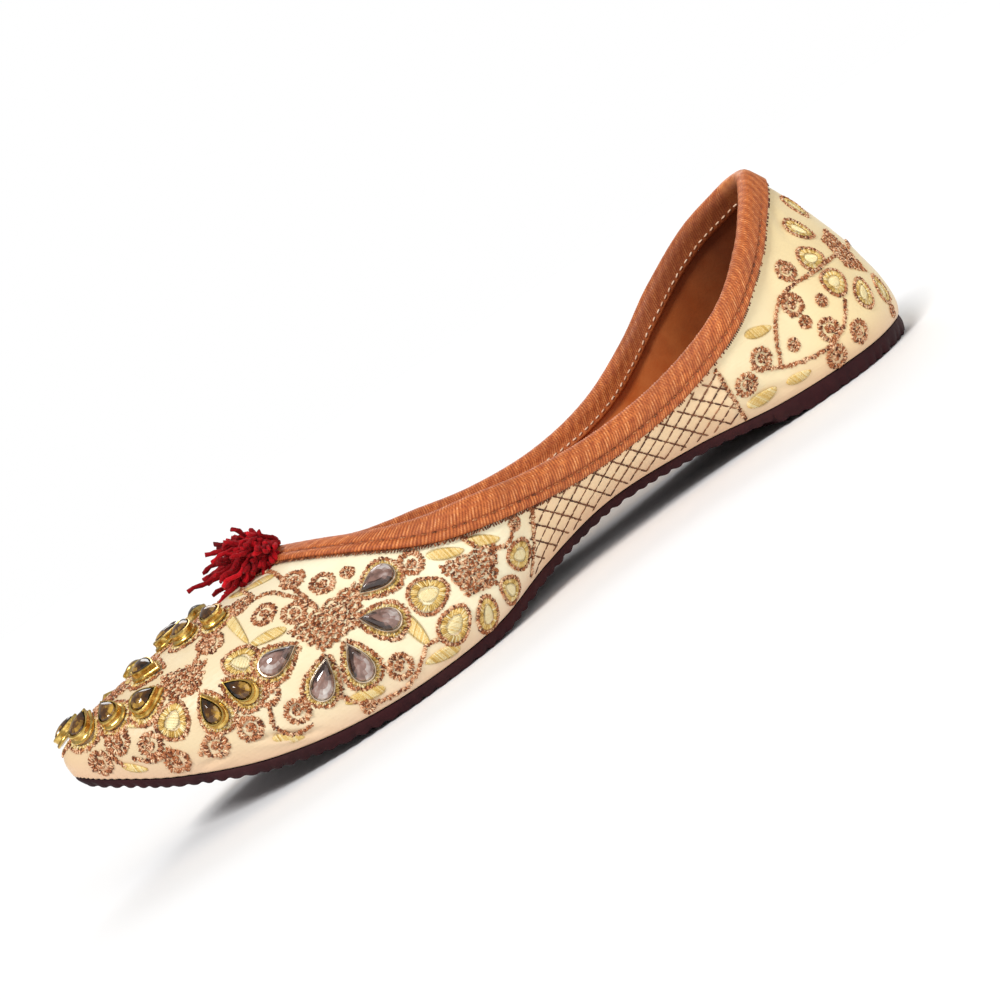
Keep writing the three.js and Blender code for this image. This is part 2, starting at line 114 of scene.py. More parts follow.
# The lateral side of the topline stands higher than the medial side by the last column.
TOPLINE_COLUMNS = ("along", "medial", "lateral", "height", "lateral_rise")
TOPLINE = [
    (15.8, 0.3, 0.3, 59, 0), (21, 11, -10, 56.7, 0.9), (30, 20.8, -20.8, 51.4, 2.3),
    (42, 29.6, -30, 43.3, 2.8), (58, 34, -35.4, 34, 1.8), (78, 31.4, -34.4, 27.2, 0.7),
    (100, 30.6, -32.4, 24.9, 0.1), (120, 32.8, -32.2, 26.2, 0.1), (138, 36.4, -31.4, 29.5, 0.5),
    (152, 34, -27.6, 32.8, 0.9), (165, 27.4, -19.6, 38, 0.9), (174, 20, -11, 42.4, 0.6),
    (180.5, 4.5, 4.5, 45.5, 0),
]

# Set stones on top of the vamp: (across, along) of each flower's middle and of its stones.
VAMP_FLOWERS = [
    ((4, 204.5), [(16, 203.6), (11.2, 210), (3, 213.2), (-4.8, 210.6), (-8.2, 203.4)]),
    ((24, 215.2), [(20.6, 226.8), (12.9, 222.6)]),
    ((-16.1, 211.8), [(-24.6, 202.4), (-18.8, 222.9), (-8.7, 222.9)]),
    ((2.6, 233.6), [(13.9, 235), (8.9, 241.6), (2, 244.8), (-5.8, 241.4), (-10.6, 232.2)]),
]
# Stones on the sides: (along, height) of each flower's middle and of its stones.
HANGING_STONES = [
    (1, (215.2, 35), [(209.2, 25.8), (216.6, 25.4)]),
    (-1, (211.8, 38), [(210, 28.4), (218, 29.6)]),
]
SIDE_FLOWER = ((183.7, 27.3), [(198.6, 26.7), (193.1, 17.6), (184.6, 16.4), (174.9, 21.2), (170, 28.6)])
VAMP_STONE = (9.4, 7.4, 3.4)
HANGING_STONE = (9.2, 6.2, 3.2)
SIDE_STONE = (10.4, 6.6, 2.8)


# ---- the last's surface --------------------------------------------------------------------------
def smooth_curve(pairs, period):
    """A smooth periodic curve through (knot, value) pairs, with a parabola's slope at each knot."""
    knots, values = (np.array(column, float) for column in zip(*sorted(pairs)))
    knots = np.concatenate([knots[-2:] - period, knots, knots[:2] + period])
    values = np.concatenate([values[-2:], values, values[:2]])
    gaps = np.diff(knots)
    rates = np.diff(values) / gaps
    slopes = (rates[:-1] * gaps[1:] + rates[1:] * gaps[:-1]) / (gaps[:-1] + gaps[1:])
    slopes = np.concatenate([[0], slopes, [0]])
    start = knots[2]

    def curve(at):
        x = (np.asarray(at, float) - start) % period + start
        i = np.clip(np.searchsorted(knots, x, side="right") - 1, 1, len(knots) - 3)
        width = gaps[i]
        t = (x - knots[i]) / width
        s = 1 - t
        return (values[i] * (1 + 2 * t) * s * s + values[i + 1] * (1 + 2 * s) * t * t
                + width * t * s * (slopes[i] * s - slopes[i + 1] * t))

    return curve


def turn_at(along, start, end):
    return np.arccos(1 - 2 * np.clip((np.asarray(along, float) - start) / (end - start), 0, 1)) / math.pi


def along_at(turn, start, end):
    return start + (end - start) * (1 - np.cos(math.pi * np.asarray(turn, float))) / 2


def ring_curve(rows, turns, outward, homeward):
    pairs = [(turn, row[outward]) for turn, row in zip(turns, rows)]
    pairs += [(2 - turn, row[homeward]) for turn, row in list(zip(turns, rows))[1:-1]]
    return smooth_curve(pairs, 2)


section_rows = [dict(zip(SECTION_COLUMNS, row)) for row in SECTIONS]
topline_rows = [dict(zip(TOPLINE_COLUMNS, row)) for row in TOPLINE]
RIM_START = TOPLINE[0][0]
RIM_END = TOPLINE[-1][0]
section_turns = [float(turn_at(row["along"], 0, LENGTH)) for row in section_rows]
topline_turns = [float(turn_at(row["along"], RIM_START, RIM_END)) for row in topline_rows]
for row in topline_rows:
    row["lateral_height"] = row["height"] + row["lateral_rise"]
for row in section_rows:
    row["rim_turn"] = float(turn_at(row["rim"], RIM_START, RIM_END))


def even_column(name):
    return ring_curve(section_rows, section_turns, name, name)


sole_across = ring_curve(section_rows, section_turns, "medial", "lateral")
sole_top, sole_thick, belly, rise, reach, drop, rim_turn_of = (
    even_column(name) for name in ("top", "thick", "belly", "rise", "reach", "drop", "rim_turn"))
rim_across = ring_curve(topline_rows, topline_turns, "medial", "lateral")
rim_height = ring_curve(topline_rows, topline_turns, "height", "lateral_height")


def place(across, along, height):
    across, along, height = np.broadcast_arrays(across, along, height)
    return np.stack([across - X_MIDDLE, Y_MIDDLE - along, height], -1).astype(float)


def unit(vectors):
    return vectors / np.maximum(np.linalg.norm(vectors, axis=-1, keepdims=True), 1e-9)


def scaled(vectors, amounts):
    return vectors * np.asarray(amounts, float)[..., None]


def feather_point(turn):
    turn = np.asarray(turn, float)
    return place(sole_across(turn), along_at(turn, 0, LENGTH), sole_top(turn) + GAP)


def feather_outward(turn):
    turn = np.asarray(turn, float)
    step = feather_point(turn + SAMPLE) - feather_point(turn - SAMPLE)
    return unit(np.stack([-step[..., 1], step[..., 0], np.zeros_like(step[..., 0])], -1))


def rim_point(turn):
    turn = np.asarray(turn, float)
    on_rim = rim_turn_of(turn)
    ring = np.where(turn % 2 > 1, 2 - on_rim, on_rim)
    return place(rim_across(ring), along_at(on_rim, RIM_START, RIM_END), rim_height(ring))


def wall_line(turn):
    """The four control points of the wall line at a turn, from the sole to the topline."""
    foot = feather_point(turn)
    head = rim_point(turn)
    level = np.array([1.0, 1.0, 0.0])
    up = np.array([0.0, 0.0, 1.0])
    outward = unit((foot - head) * level)
    swell = foot + scaled(feather_outward(turn), belly(turn)) + scaled(up, rise(turn))
    shoulder = head + scaled(outward, reach(turn)) - scaled(up, drop(turn))
    return foot, swell, shoulder, head


def wall_point(turn, climb):
    turn, climb = np.broadcast_arrays(np.asarray(turn, float), np.asarray(climb, float))
    foot, swell, shoulder, head = wall_line(turn)
    rest = 1 - climb
    return (scaled(foot, rest ** 3) + scaled(swell, 3 * rest * rest * climb)
            + scaled(shoulder, 3 * rest * climb * climb) + scaled(head, climb ** 3))


def wall_normal(turn, climb):
    above, below = np.minimum(climb + SAMPLE, 1), np.maximum(climb - SAMPLE, 0)
    upward = wall_point(turn, above) - wall_point(turn, below)
    onward = wall_point(turn + SAMPLE, climb) - wall_point(turn - SAMPLE, climb)
    return unit(np.cross(upward, onward))


def wall_depth(turn, climb, depth):
    """A point at a depth inside the wall's outer face. At the foot the depth is measured level."""
    turn, climb, depth = np.broadcast_arrays(*(np.asarray(a, float) for a in (turn, climb, depth)))
    part = np.clip(climb / 0.25, 0, 1)
    free = part * part * (3 - 2 * part)
    level = scaled(feather_outward(turn), depth * FOOT_OF_WALL / WALL)
    square = scaled(wall_normal(turn, climb), depth)
    return wall_point(turn, climb) - scaled(level, 1 - free) - scaled(square, free)


def climb_below_rim(turns, length):
    """The climb at which each wall line is still the given length short of the topline."""
    steps = np.linspace(0, 1, 81)
    lines = wall_point(turns[:, None], steps[None, :])
    lengths = np.linalg.norm(np.diff(lines, axis=1), axis=-1)
    left = np.concatenate([np.cumsum(lengths[:, ::-1], 1)[:, ::-1], np.zeros((len(turns), 1))], 1)
    wanted = np.broadcast_to(length, turns.shape)
    return np.array([np.interp(-w, -row, steps) for w, row in zip(wanted, left)])


def even_rim_turns(count):
    """Turns, one for each column and the first again at 2, at equal steps along the topline."""
    fine = np.linspace(0, 2, 4001)
    steps = np.linalg.norm(np.diff(rim_point(fine), axis=0), axis=-1)
    reached = np.concatenate([[0], np.cumsum(steps)])
    return np.interp(np.linspace(0, reached[-1], count + 1), reached, fine), reached[-1]


# A fine sample of the wall's outer face, on which motifs and stones are placed.
SAMPLE_TURNS = np.linspace(0, 2, 1401)[:-1]
SAMPLE_CLIMBS = np.linspace(0.005, 0.995, 121)
sampled_turn, sampled_climb = (a.ravel() for a in np.meshgrid(SAMPLE_TURNS, SAMPLE_CLIMBS, indexing="ij"))
sampled_point = wall_point(sampled_turn, sampled_climb)
sampled_normal = wall_normal(sampled_turn, sampled_climb)
sample_tree = KDTree(len(sampled_point))
for index, point in enumerate(sampled_point.tolist()):
    sample_tree.insert(point, index)
sample_tree.balance()


def on_wall(point):
    """The place on the wall's outer face nearest to a point close to it, and the outward direction."""
    index = sample_tree.find(point)[1]
    normal = sampled_normal[index]
    return point - normal * float((point - sampled_point[index]) @ normal), normal


TOP_SAMPLES = np.flatnonzero((sampled_climb > 0.3) & (sampled_turn > 0.5) & (sampled_turn < 1.5))
SIDE_SAMPLES = {1: np.flatnonzero(sampled_turn <= 1), -1: np.flatnonzero(sampled_turn >= 1)}


def seen_from_above(across, along):
    """The place on top of the vamp that stands over a place in plan."""
    wanted = place(across, along, 0)
    near = sampled_point[TOP_SAMPLES]
    best = TOP_SAMPLES[np.argmin((near[:, 0] - wanted[0]) ** 2 + (near[:, 1] - wanted[1]) ** 2)]
    return on_wall(np.array([wanted[0], wanted[1], sampled_point[best, 2]]))[0]


def seen_from_side(side, along, height):
    """The place on the wall at a distance along and a height, on the medial (1) or lateral (-1) side."""
    samples = SIDE_SAMPLES[side]
    near = sampled_point[samples]
    best = samples[np.argmin((near[:, 1] - Y_MIDDLE + along) ** 2 + (near[:, 2] - height) ** 2)]
    return on_wall(np.array([sampled_point[best, 0], Y_MIDDLE - along, height]))[0]


# ---- making meshes -------------------------------------------------------------------------------
def deselect():
    if bpy.context.object and bpy.context.object.mode != "OBJECT":
        bpy.ops.object.mode_set(mode="OBJECT")
    bpy.ops.object.select_all(action="DESELECT")


def select_only(piece):
    deselect()
    piece.select_set(True)
    bpy.context.view_layer.objects.active = piece


def edit_all(piece):
    select_only(piece)
    bpy.ops.object.mode_set(mode="EDIT")
    bpy.ops.mesh.select_all(action="SELECT")


def face_outward():
    """From edit mode: points every face outward, and goes back to object mode."""
    bpy.ops.mesh.select_all(action="SELECT")
    bpy.ops.mesh.normals_make_consistent(inside=False)
    bpy.ops.object.mode_set(mode="OBJECT")


def smooth_by_angle(piece, degrees):
    select_only(piece)
    bpy.ops.object.shade_smooth_by_angle(angle=math.radians(degrees))


def vertex_places(mesh):
    places = np.empty(len(mesh.vertices) * 3)
    mesh.vertices.foreach_get("co", places)
    return places.reshape(-1, 3)


def draped_sheet(name, columns, rows, shape, marks=None):
    """A flat grid laid where shape(column, row) says. Marks are named values at each vertex."""
    deselect()
    bpy.ops.mesh.primitive_grid_add(x_subdivisions=columns, y_subdivisions=rows, size=1)
    piece = bpy.context.active_object
    piece.name = name
    flat = vertex_places(piece.data)
    column = np.rint((flat[:, 0] + 0.5) * columns).astype(int)
    row = np.rint((flat[:, 1] + 0.5) * rows).astype(int)
    laid = shape(column, row) * MM
    piece.data.vertices.foreach_set("co", laid.astype(np.float32).ravel())
    for mark, of_place in (marks or {}).items():
        attribute = piece.data.attributes.new(mark, "FLOAT", "POINT")
        attribute.data.foreach_set("value", of_place(column, row).astype(np.float32))
    edit_all(piece)
    bpy.ops.mesh.remove_doubles(threshold=MERGE)
    face_outward()
    bpy.ops.object.shade_smooth()
    return piece


def close_ends(piece):
    """The two ends of a sole or insole are small open loops: each is filled."""
    edit_all(piece)
    bpy.ops.mesh.select_all(action="DESELECT")
    bpy.ops.mesh.select_mode(type="EDGE")
    bpy.ops.mesh.select_non_manifold(extend=False)
    bpy.ops.mesh.edge_face_add()
    bpy.ops.mesh.select_mode(type="VERT")
    face_outward()
    smooth_by_angle(piece, 50)


def piece_from(name, places, faces, tones):
    """One piece of many small closed parts, with a tone at each vertex."""
    mesh = bpy.data.meshes.new(name)
    mesh.from_pydata((places * MM).tolist(), [], faces.tolist())
    attribute = mesh.attributes.new("tone", "FLOAT", "POINT")
    attribute.data.foreach_set("value", tones.astype(np.float32))
    piece = bpy.data.objects.new(name, mesh)
    bpy.context.scene.collection.objects.link(piece)
    edit_all(piece)
    face_outward()
    bpy.ops.object.shade_smooth()
    return piece


def finished(piece, material, slot_name, *nodes):
    """The last steps of every piece: its material, its body and the nodes it stands for; the slot name is
    not used.
    """
    piece.data.name = piece.name
    piece.data.materials.clear()
    piece.data.materials.append(material)
    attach(piece, "root")
    if nodes:
        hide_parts(*nodes)
    return piece


# ---- materials -----------------------------------------------------------------------------------
def srgb(red, green, blue):
    def linear(value):
        value /= 255
        return value / 12.92 if value <= 0.04045 else ((value + 0.055) / 1.055) ** 2.4
    return (linear(red), linear(green), linear(blue), 1.0)


def put(tree, kind, inputs=None, **settings):
    """Adds a node. An input is a number, a colour, or another node's output socket."""
    node = tree.nodes.new(kind)
    for name, value in settings.items():
        setattr(node, name, value)
    for name, value in (inputs or {}).items():
        if isinstance(value, bpy.types.NodeSocket):
            tree.links.new(value, node.inputs[name])
        else:
            node.inputs[name].default_value = value
    return node


def ramp(tree, factor, stops):
    """A colour ramp with (position, colour) stops."""
    node = put(tree, "ShaderNodeValToRGB", {"Fac": factor})
    elements = node.color_ramp.elements
    while len(elements) < len(stops):
        elements.new(0.5)
    for element, (position, colour) in zip(elements, stops):
        element.position = position
        element.color = colour
    return node.outputs["Color"]


def mixed(tree, factor, first, second, blend="MIX"):
    node = put(tree, "ShaderNodeMix", data_type="RGBA", blend_type=blend)
    for index, value in ((0, factor), (6, first), (7, second)):
        if isinstance(value, bpy.types.NodeSocket):
            tree.links.new(value, node.inputs[index])
        else:
            node.inputs[index].default_value = value
    return node.outputs[2]


def reckoned(tree, operation, first, second):
    return put(tree, "ShaderNodeMath", {0: first, 1: second}, operation=operation).outputs[0]


def spread(tree, value, low, high, to_low=0.0, to_high=1.0):
    reach = {"Value": value, "From Min": low, "From Max": high, "To Min": to_low, "To Max": to_high}
    return put(tree, "ShaderNodeMapRange", reach).outputs["Result"]


def noise(tree, places, scale, detail=2.0, roughness=0.5):
    cloud = {"Vector": places, "Scale": scale, "Detail": detail, "Roughness": roughness}
    return put(tree, "ShaderNodeTexNoise", cloud).outputs["Fac"]


def mark_value(tree, name):
    return put(tree, "ShaderNodeAttribute", attribute_name=name).outputs["Fac"]


def shared_effect(name, setting, *outputs):
    """An empty node group that takes a place and one setting and gives values."""
    group = bpy.data.node_groups.new(name, "ShaderNodeTree")
    group.interface.new_socket("Vector", in_out="INPUT", socket_type="NodeSocketVector")
    group.interface.new_socket(setting, in_out="INPUT", socket_type="NodeSocketFloat")
    for label in outputs:
        group.interface.new_socket(label, in_out="OUTPUT", socket_type="NodeSocketFloat")
    given = group.nodes.new("NodeGroupInput").outputs
    return group, given["Vector"], given[setting], group.nodes.new("NodeGroupOutput").inputs


def leather_grain_group():
    group, places, scale, made = shared_effect("leather_grain", "Scale", "Height", "Tone")
    cells = put(group, "ShaderNodeTexVoronoi", {"Vector": places, "Scale": scale}, feature="F1")
    fine = noise(group, places, reckoned(group, "MULTIPLY", scale, 1.7), 4.0)
    broad = noise(group, places, reckoned(group, "MULTIPLY", scale, 0.06), 5.0, 0.6)
    group.links.new(reckoned(group, "ADD", cells.outputs["Distance"], fine), made["Height"])
    group.links.new(spread(group, broad, 0.3, 0.7), made["Tone"])
    return group


def cloth_weave_group():
    group, places, scale, made = shared_effect("cloth_weave", "Scale", "Height", "Tone")
    waves = {"Vector": places, "Scale": scale, "Distortion": 1.2, "Detail": 1.0, "Detail Scale": 2.0}
    warp, weft = (put(group, "ShaderNodeTexWave", waves, bands_direction=direction).outputs["Fac"]
                  for direction in ("X", "Z"))
    group.links.new(reckoned(group, "MULTIPLY", warp, weft), made["Height"])
    group.links.new(spread(group, noise(group, places, 45.0, 4.0), 0.35, 0.65), made["Tone"])
    return group


def handling_soil_group():
    group, places, amount, made = shared_effect("handling_soil", "Amount", "Mask")
    patches = spread(group, noise(group, places, 60.0, 6.0, 0.65), 0.45, 0.75)
    group.links.new(reckoned(group, "MULTIPLY", patches, amount), made["Mask"])
    return group


LEATHER_GRAIN = leather_grain_group()
CLOTH_WEAVE = cloth_weave_group()
HANDLING_SOIL = handling_soil_group()


def effect(tree, group, places, **setting):
    return put(tree, "ShaderNodeGroup", {"Vector": places, **setting}, node_tree=group).outputs


def new_material(name, **sockets):
    """A material whose plain values are set on the shader's own sockets, its nodes, and object places."""
    material = bpy.data.materials.new(name)
    material.use_nodes = True
    tree = material.node_tree
    for label, value in sockets.items():
        tree.nodes["Principled BSDF"].inputs[label.replace("_", " ")].default_value = value
    return material, tree, put(tree, "ShaderNodeTexCoord").outputs["Object"]


def dressed(material, colour, roughness=None, height=None, distance=0.0, strength=1.0):
    """Joins a material's colour, roughness and fine relief to its shader."""
    tree = material.node_tree
    shader = tree.nodes["Principled BSDF"]
    tree.links.new(colour, shader.inputs["Base Color"])
    if roughness is not None:
        tree.links.new(roughness, shader.inputs["Roughness"])
    if height is not None:
        bump = put(tree, "ShaderNodeBump", {"Height": height, "Distance": distance, "Strength": strength})
        tree.links.new(bump.outputs["Normal"], shader.inputs["Normal"])
    return material


HEEL_PAINTED_SHADE = (0.035, 0.095)  # where painted shade turns the cream darker and yellower towards the heel, in metres along the shoe
TOE_PAINTED_SHADE = (-0.05, -0.12)   # and where painted shade turns it duller towards the toe


def silk_material():
    material, tree, places = new_material("cream_silk", Sheen_Weight=0.25, Sheen_Roughness=0.35)
    weave = effect(tree, CLOTH_WEAVE, places, Scale=330.0)
    soil = effect(tree, HANDLING_SOIL, places, Amount=0.35)["Mask"]
    length = put(tree, "ShaderNodeSeparateXYZ", {"Vector": places}).outputs["Y"]
    cream = mixed(tree, weave["Tone"], srgb(247, 232, 192), srgb(253, 243, 210))
    # Painted shade: darker and yellower towards the heel, and duller towards the toe.
    heel = mixed(tree, spread(tree, length, *HEEL_PAINTED_SHADE), cream, srgb(243, 219, 166))
    toe = mixed(tree, spread(tree, length, *TOE_PAINTED_SHADE), heel, srgb(216, 190, 150))
    # The waist's pinkish tan, lifted brighter as painted light where the waist lies in shade.
    waist = mixed(tree, mark_value(tree, "waist"), toe, srgb(252, 220, 176))
    soiled = mixed(tree, soil, waist, srgb(226, 194, 144))
    # Painted shade near the sole, pink as a painted reflection of the sole.
    foot = spread(tree, mark_value(tree, "above_sole"), 0.0, 8.0, 0.65, 0.0)
    colour = mixed(tree, foot, soiled, srgb(226, 180, 148))
    roughness = spread(tree, weave["Height"], 0.0, 1.0, 0.42, 0.56)
    return dressed(material, colour, roughness, weave["Height"], 0.00005, 0.6)


def thread_material(name, dark, middle, light, metal, roughness):
    """Thread: each stitch has its own tone, and fine twist shows along it."""
    material, tree, places = new_material(name, Metallic=metal)
    tone = mark_value(tree, "tone")
    twist = noise(tree, places, 3200.0)
    lively = reckoned(tree, "ADD", tone, spread(tree, twist, 0.3, 0.7, -0.22, 0.22))
    colour = ramp(tree, lively, [(0.0, dark), (0.5, middle), (1.0, light)])
    shine = spread(tree, tone, 0.0, 1.0, roughness + 0.15, roughness - 0.05)
    return dressed(material, colour, shine, twist, 0.00006, 0.7)


def binding_material():
    """Tan leather, with painted highlight on the crests of its ribs, painted shade in their grooves, and
    painted shade on the inside of the heel.
    """
    material, tree, places = new_material("whipped_tan_leather", Specular_IOR_Level=0.45)
    grain = effect(tree, LEATHER_GRAIN, places, Scale=1500.0)
    soil = effect(tree, HANDLING_SOIL, places, Amount=0.6)["Mask"]
    # The rib mark gives relief and colour: painted highlight on the crests, painted shade in the grooves.
    rib = mark_value(tree, "rib")
    body = ramp(tree, rib, [(0.0, srgb(140, 64, 24)), (0.35, srgb(208, 114, 52)),
                            (0.75, srgb(238, 152, 86)), (1.0, srgb(255, 220, 174))])
    mottled = spread(tree, noise(tree, places, 900.0, 3.0, 0.7), 0.35, 0.65)
    warm = mixed(tree, mottled, srgb(188, 138, 100), srgb(255, 253, 246))
    soiled = mixed(tree, soil, mixed(tree, 0.7, body, warm, "MULTIPLY"), srgb(140, 72, 38))
    # Painted shade on the inside of the strip towards the heel.
    wear_and_shade = spread(tree, mark_value(tree, "painted_heel_shade"), 0.0, 1.0, 0.0, 0.85)
    colour = mixed(tree, wear_and_shade, soiled, srgb(104, 48, 18))
    roughness = spread(tree, rib, 0.0, 1.0, 0.72, 0.45)
    return dressed(material, colour, roughness, grain["Height"], 0.00008, 0.6)


def lining_material():
    material, tree, places = new_material("smooth_tan_lining", Specular_IOR_Level=0.4)
    grain = effect(tree, LEATHER_GRAIN, places, Scale=1300.0)
    soil = effect(tree, HANDLING_SOIL, places, Amount=0.5)["Mask"]
    tan = mixed(tree, grain["Tone"], srgb(214, 108, 42), srgb(238, 142, 72))
    wear_and_shade = mixed(tree, soil, tan, srgb(150, 66, 26))
    # Painted shade deep inside the heel.
    colour = mixed(tree, mark_value(tree, "painted_heel_shade"), wear_and_shade, srgb(66, 18, 4))
    return dressed(material, colour, spread(tree, grain["Tone"], 0.0, 1.0, 0.5, 0.62),
                   grain["Height"], 0.00006, 0.5)


def insole_material():
    """Brown sheet with a fine grain that runs across the foot."""
    material, tree, places = new_material("cross_grained_insole", Specular_IOR_Level=0.3)
    stretched = put(tree, "ShaderNodeMapping",
                    {"Vector": places, "Scale": (0.18, 1.0, 1.0)}).outputs["Vector"]
    streaks = spread(tree, noise(tree, stretched, 2600.0, 3.0, 0.7), 0.3, 0.7)
    soil = effect(tree, HANDLING_SOIL, places, Amount=0.55)["Mask"]
    brown = mixed(tree, streaks, srgb(150, 82, 36), srgb(190, 116, 62))
    colour = mixed(tree, soil, brown, srgb(128, 66, 28))
    return dressed(material, colour, spread(tree, streaks, 0.0, 1.0, 0.72, 0.6), streaks, 0.00012, 0.6)


def insole_border_material():
    material, tree, places = new_material("insole_border_leather", Specular_IOR_Level=0.4)
    grain = effect(tree, LEATHER_GRAIN, places, Scale=1000.0)
    colour = mixed(tree, grain["Tone"], srgb(122, 62, 38), srgb(156, 86, 56))
    return dressed(material, colour, spread(tree, grain["Tone"], 0.0, 1.0, 0.46, 0.6),
                   grain["Height"], 0.00008, 0.6)


def rubber_material():
    material, tree, places = new_material("maroon_brown_rubber", Specular_IOR_Level=0.22)
    grain = effect(tree, LEATHER_GRAIN, places, Scale=700.0)
    soil = effect(tree, HANDLING_SOIL, places, Amount=0.5)["Mask"]
    maroon = mixed(tree, grain["Tone"], srgb(34, 7, 12), srgb(54, 15, 20))
    colour = mixed(tree, soil, maroon, srgb(72, 34, 34))
    return dressed(material, colour, spread(tree, grain["Tone"], 0.0, 1.0, 0.62, 0.8),
                   grain["Height"], 0.0001, 0.6)


def metal_material(name, metal, dent_scale, dent_detail, dark, light, rough, smooth, depth):
    """Dented foil or gilt metal, brighter and smoother where the dents rise."""
    material, tree, places = new_material(name, Metallic=metal)
    dents = noise(tree, places, dent_scale, dent_detail)
    colour = mixed(tree, spread(tree, dents, 0.3, 0.7), dark, light)
    return dressed(material, colour, spread(tree, dents, 0.3, 0.7, rough, smooth), dents, depth, 0.5)


def glass_material(name, deep, middle, clear, coat):
    """Foil-backed glass with painted reflection: each facet is painted with its own share of the foil's
    light.
    """
    material, tree, places = new_material(name, Transmission_Weight=0.3, IOR=1.55, Metallic=0.0,
                                          Coat_Weight=coat, Coat_Roughness=0.03)
    cloud = noise(tree, places, 420.0)
    # Painted reflection: the facet mark sets how light each facet is painted.
    tone = reckoned(tree, "ADD", mark_value(tree, "facet"), spread(tree, cloud, 0.3, 0.7, -0.16, 0.16))
    colour = ramp(tree, tone, [(0.1, deep), (0.5, middle), (0.95, clear)])
    return dressed(material, colour, spread(tree, cloud, 0.0, 1.0, 0.02, 0.07))


def yarn_material():
    material, tree, places = new_material(
        "red_yarn", Sheen_Weight=0.06, Sheen_Roughness=0.4, Specular_IOR_Level=0.2)
    fibres = noise(tree, places, 2400.0, 4.0, 0.7)
    tone = reckoned(tree, "ADD", mark_value(tree, "tone"), spread(tree, fibres, 0.3, 0.7, -0.3, 0.3))
    colour = ramp(tree, tone, [(0.0, srgb(84, 0, 7)), (0.5, srgb(164, 4, 17)), (1.0, srgb(212, 18, 32))])
    return dressed(material, colour, spread(tree, fibres, 0.3, 0.7, 0.95, 0.8), fibres, 0.0002, 0.9)


def floor_material():
    material, tree, places = new_material("pale_floor", Roughness=0.85, Specular_IOR_Level=0.2)
    colour = mixed(tree, noise(tree, places, 3.0), srgb(248, 248, 248), srgb(251, 251, 251))
    return dressed(material, colour)


SILK_CLOTH = silk_material()
COPPER_THREAD = thread_material(
    "copper_thread", srgb(84, 34, 12), srgb(194, 114, 62), srgb(255, 220, 178), 0.15, 0.34)
GOLD_THREAD = thread_material(
    "pale_gold_thread", srgb(188, 144, 58), srgb(234, 198, 114), srgb(254, 240, 192), 0.08, 0.4)
DARK_THREAD = thread_material(
    "dark_brown_thread", srgb(70, 34, 20), srgb(124, 74, 44), srgb(178, 122, 84), 0.15, 0.5)
LIGHT_THREAD = thread_material(
    "light_waxed_thread", srgb(190, 130, 88), srgb(226, 178, 138), srgb(250, 222, 192), 0.0, 0.5)
BINDING_LEATHER = binding_material()
LINING_LEATHER = lining_material()
INSOLE_SHEET = insole_material()
INSOLE_BORDER = insole_border_material()
SOLE_RUBBER = rubber_material()
BRASS = metal_material(
    "gilt_setting", 1.0, 650.0, 3.0, srgb(176, 132, 52), srgb(246, 214, 128), 0.34, 0.16, 0.00025)
SILVERED = metal_material(
    "silvered_setting", 0.9, 420.0, 2.0, srgb(196, 170, 140), srgb(250, 236, 214), 0.4, 0.22, 0.0003)
AMBER_GLASS = glass_material(
    "amber_glass", srgb(20, 9, 1), srgb(96, 56, 6), srgb(255, 200, 84), 0.2)
SMOKY_GLASS = glass_material(
    "smoky_glass", srgb(50, 26, 18), srgb(166, 126, 112), srgb(255, 247, 240), 0.8)
RED_YARN = yarn_material()

# ---- sole ----------------------------------------------------------------------------------------
RIDGE_PITCH = 3.7
TOE_RIDGES_FROM = 190.0
TOE_CROWDING = 0.005      # how fast the ridges draw together towards the toe
RIDGE_DEPTH = 0.6
RIDGE_INSET = 0.4
EDGE_BULGE = 0.3
LEAST_EDGE = 0.3          # the sole's edge is never lower than this
SOLE_COLUMNS = 620
SOLE_UNDER_CELLS = 14
SOLE_EDGE_CELLS = 5
SOLE_TOP_CELLS = 6


def ridge_groove(along):
    """0 on the crest of a ridge across the sole, 1 in the groove between two."""
    crowded = TOE_CROWDING * np.maximum(0, along - TOE_RIDGES_FROM) ** 2
    uneven = along + 0.5 * np.sin(along * 0.21) + 0.3 * np.sin(along * 0.53) + crowded
    wave = 0.5 - 0.5 * np.cos(2 * math.pi * uneven / RIDGE_PITCH)
    return wave ** 1.6 * (0.8 + 0.2 * np.sin(along * 0.37))


def sole_under(along):
    turn = turn_at(along, 0, LENGTH)
    under = np.maximum(0, sole_top(turn) - sole_thick(turn))
    past = np.clip((along - HEEL_FLAT_END) / (HEEL_BREAST - HEEL_FLAT_END), 0, 1)
    step = np.clip((along - HEEL_BREAST) / 0.8, 0, 1)
    return HEEL_BREAST_LIFT * past * (1 - step) + under * step


def sole_outline(turn, side, inset):
    at = turn if side > 0 else 2 - turn
    return feather_point(at) - scaled(feather_outward(at), inset)


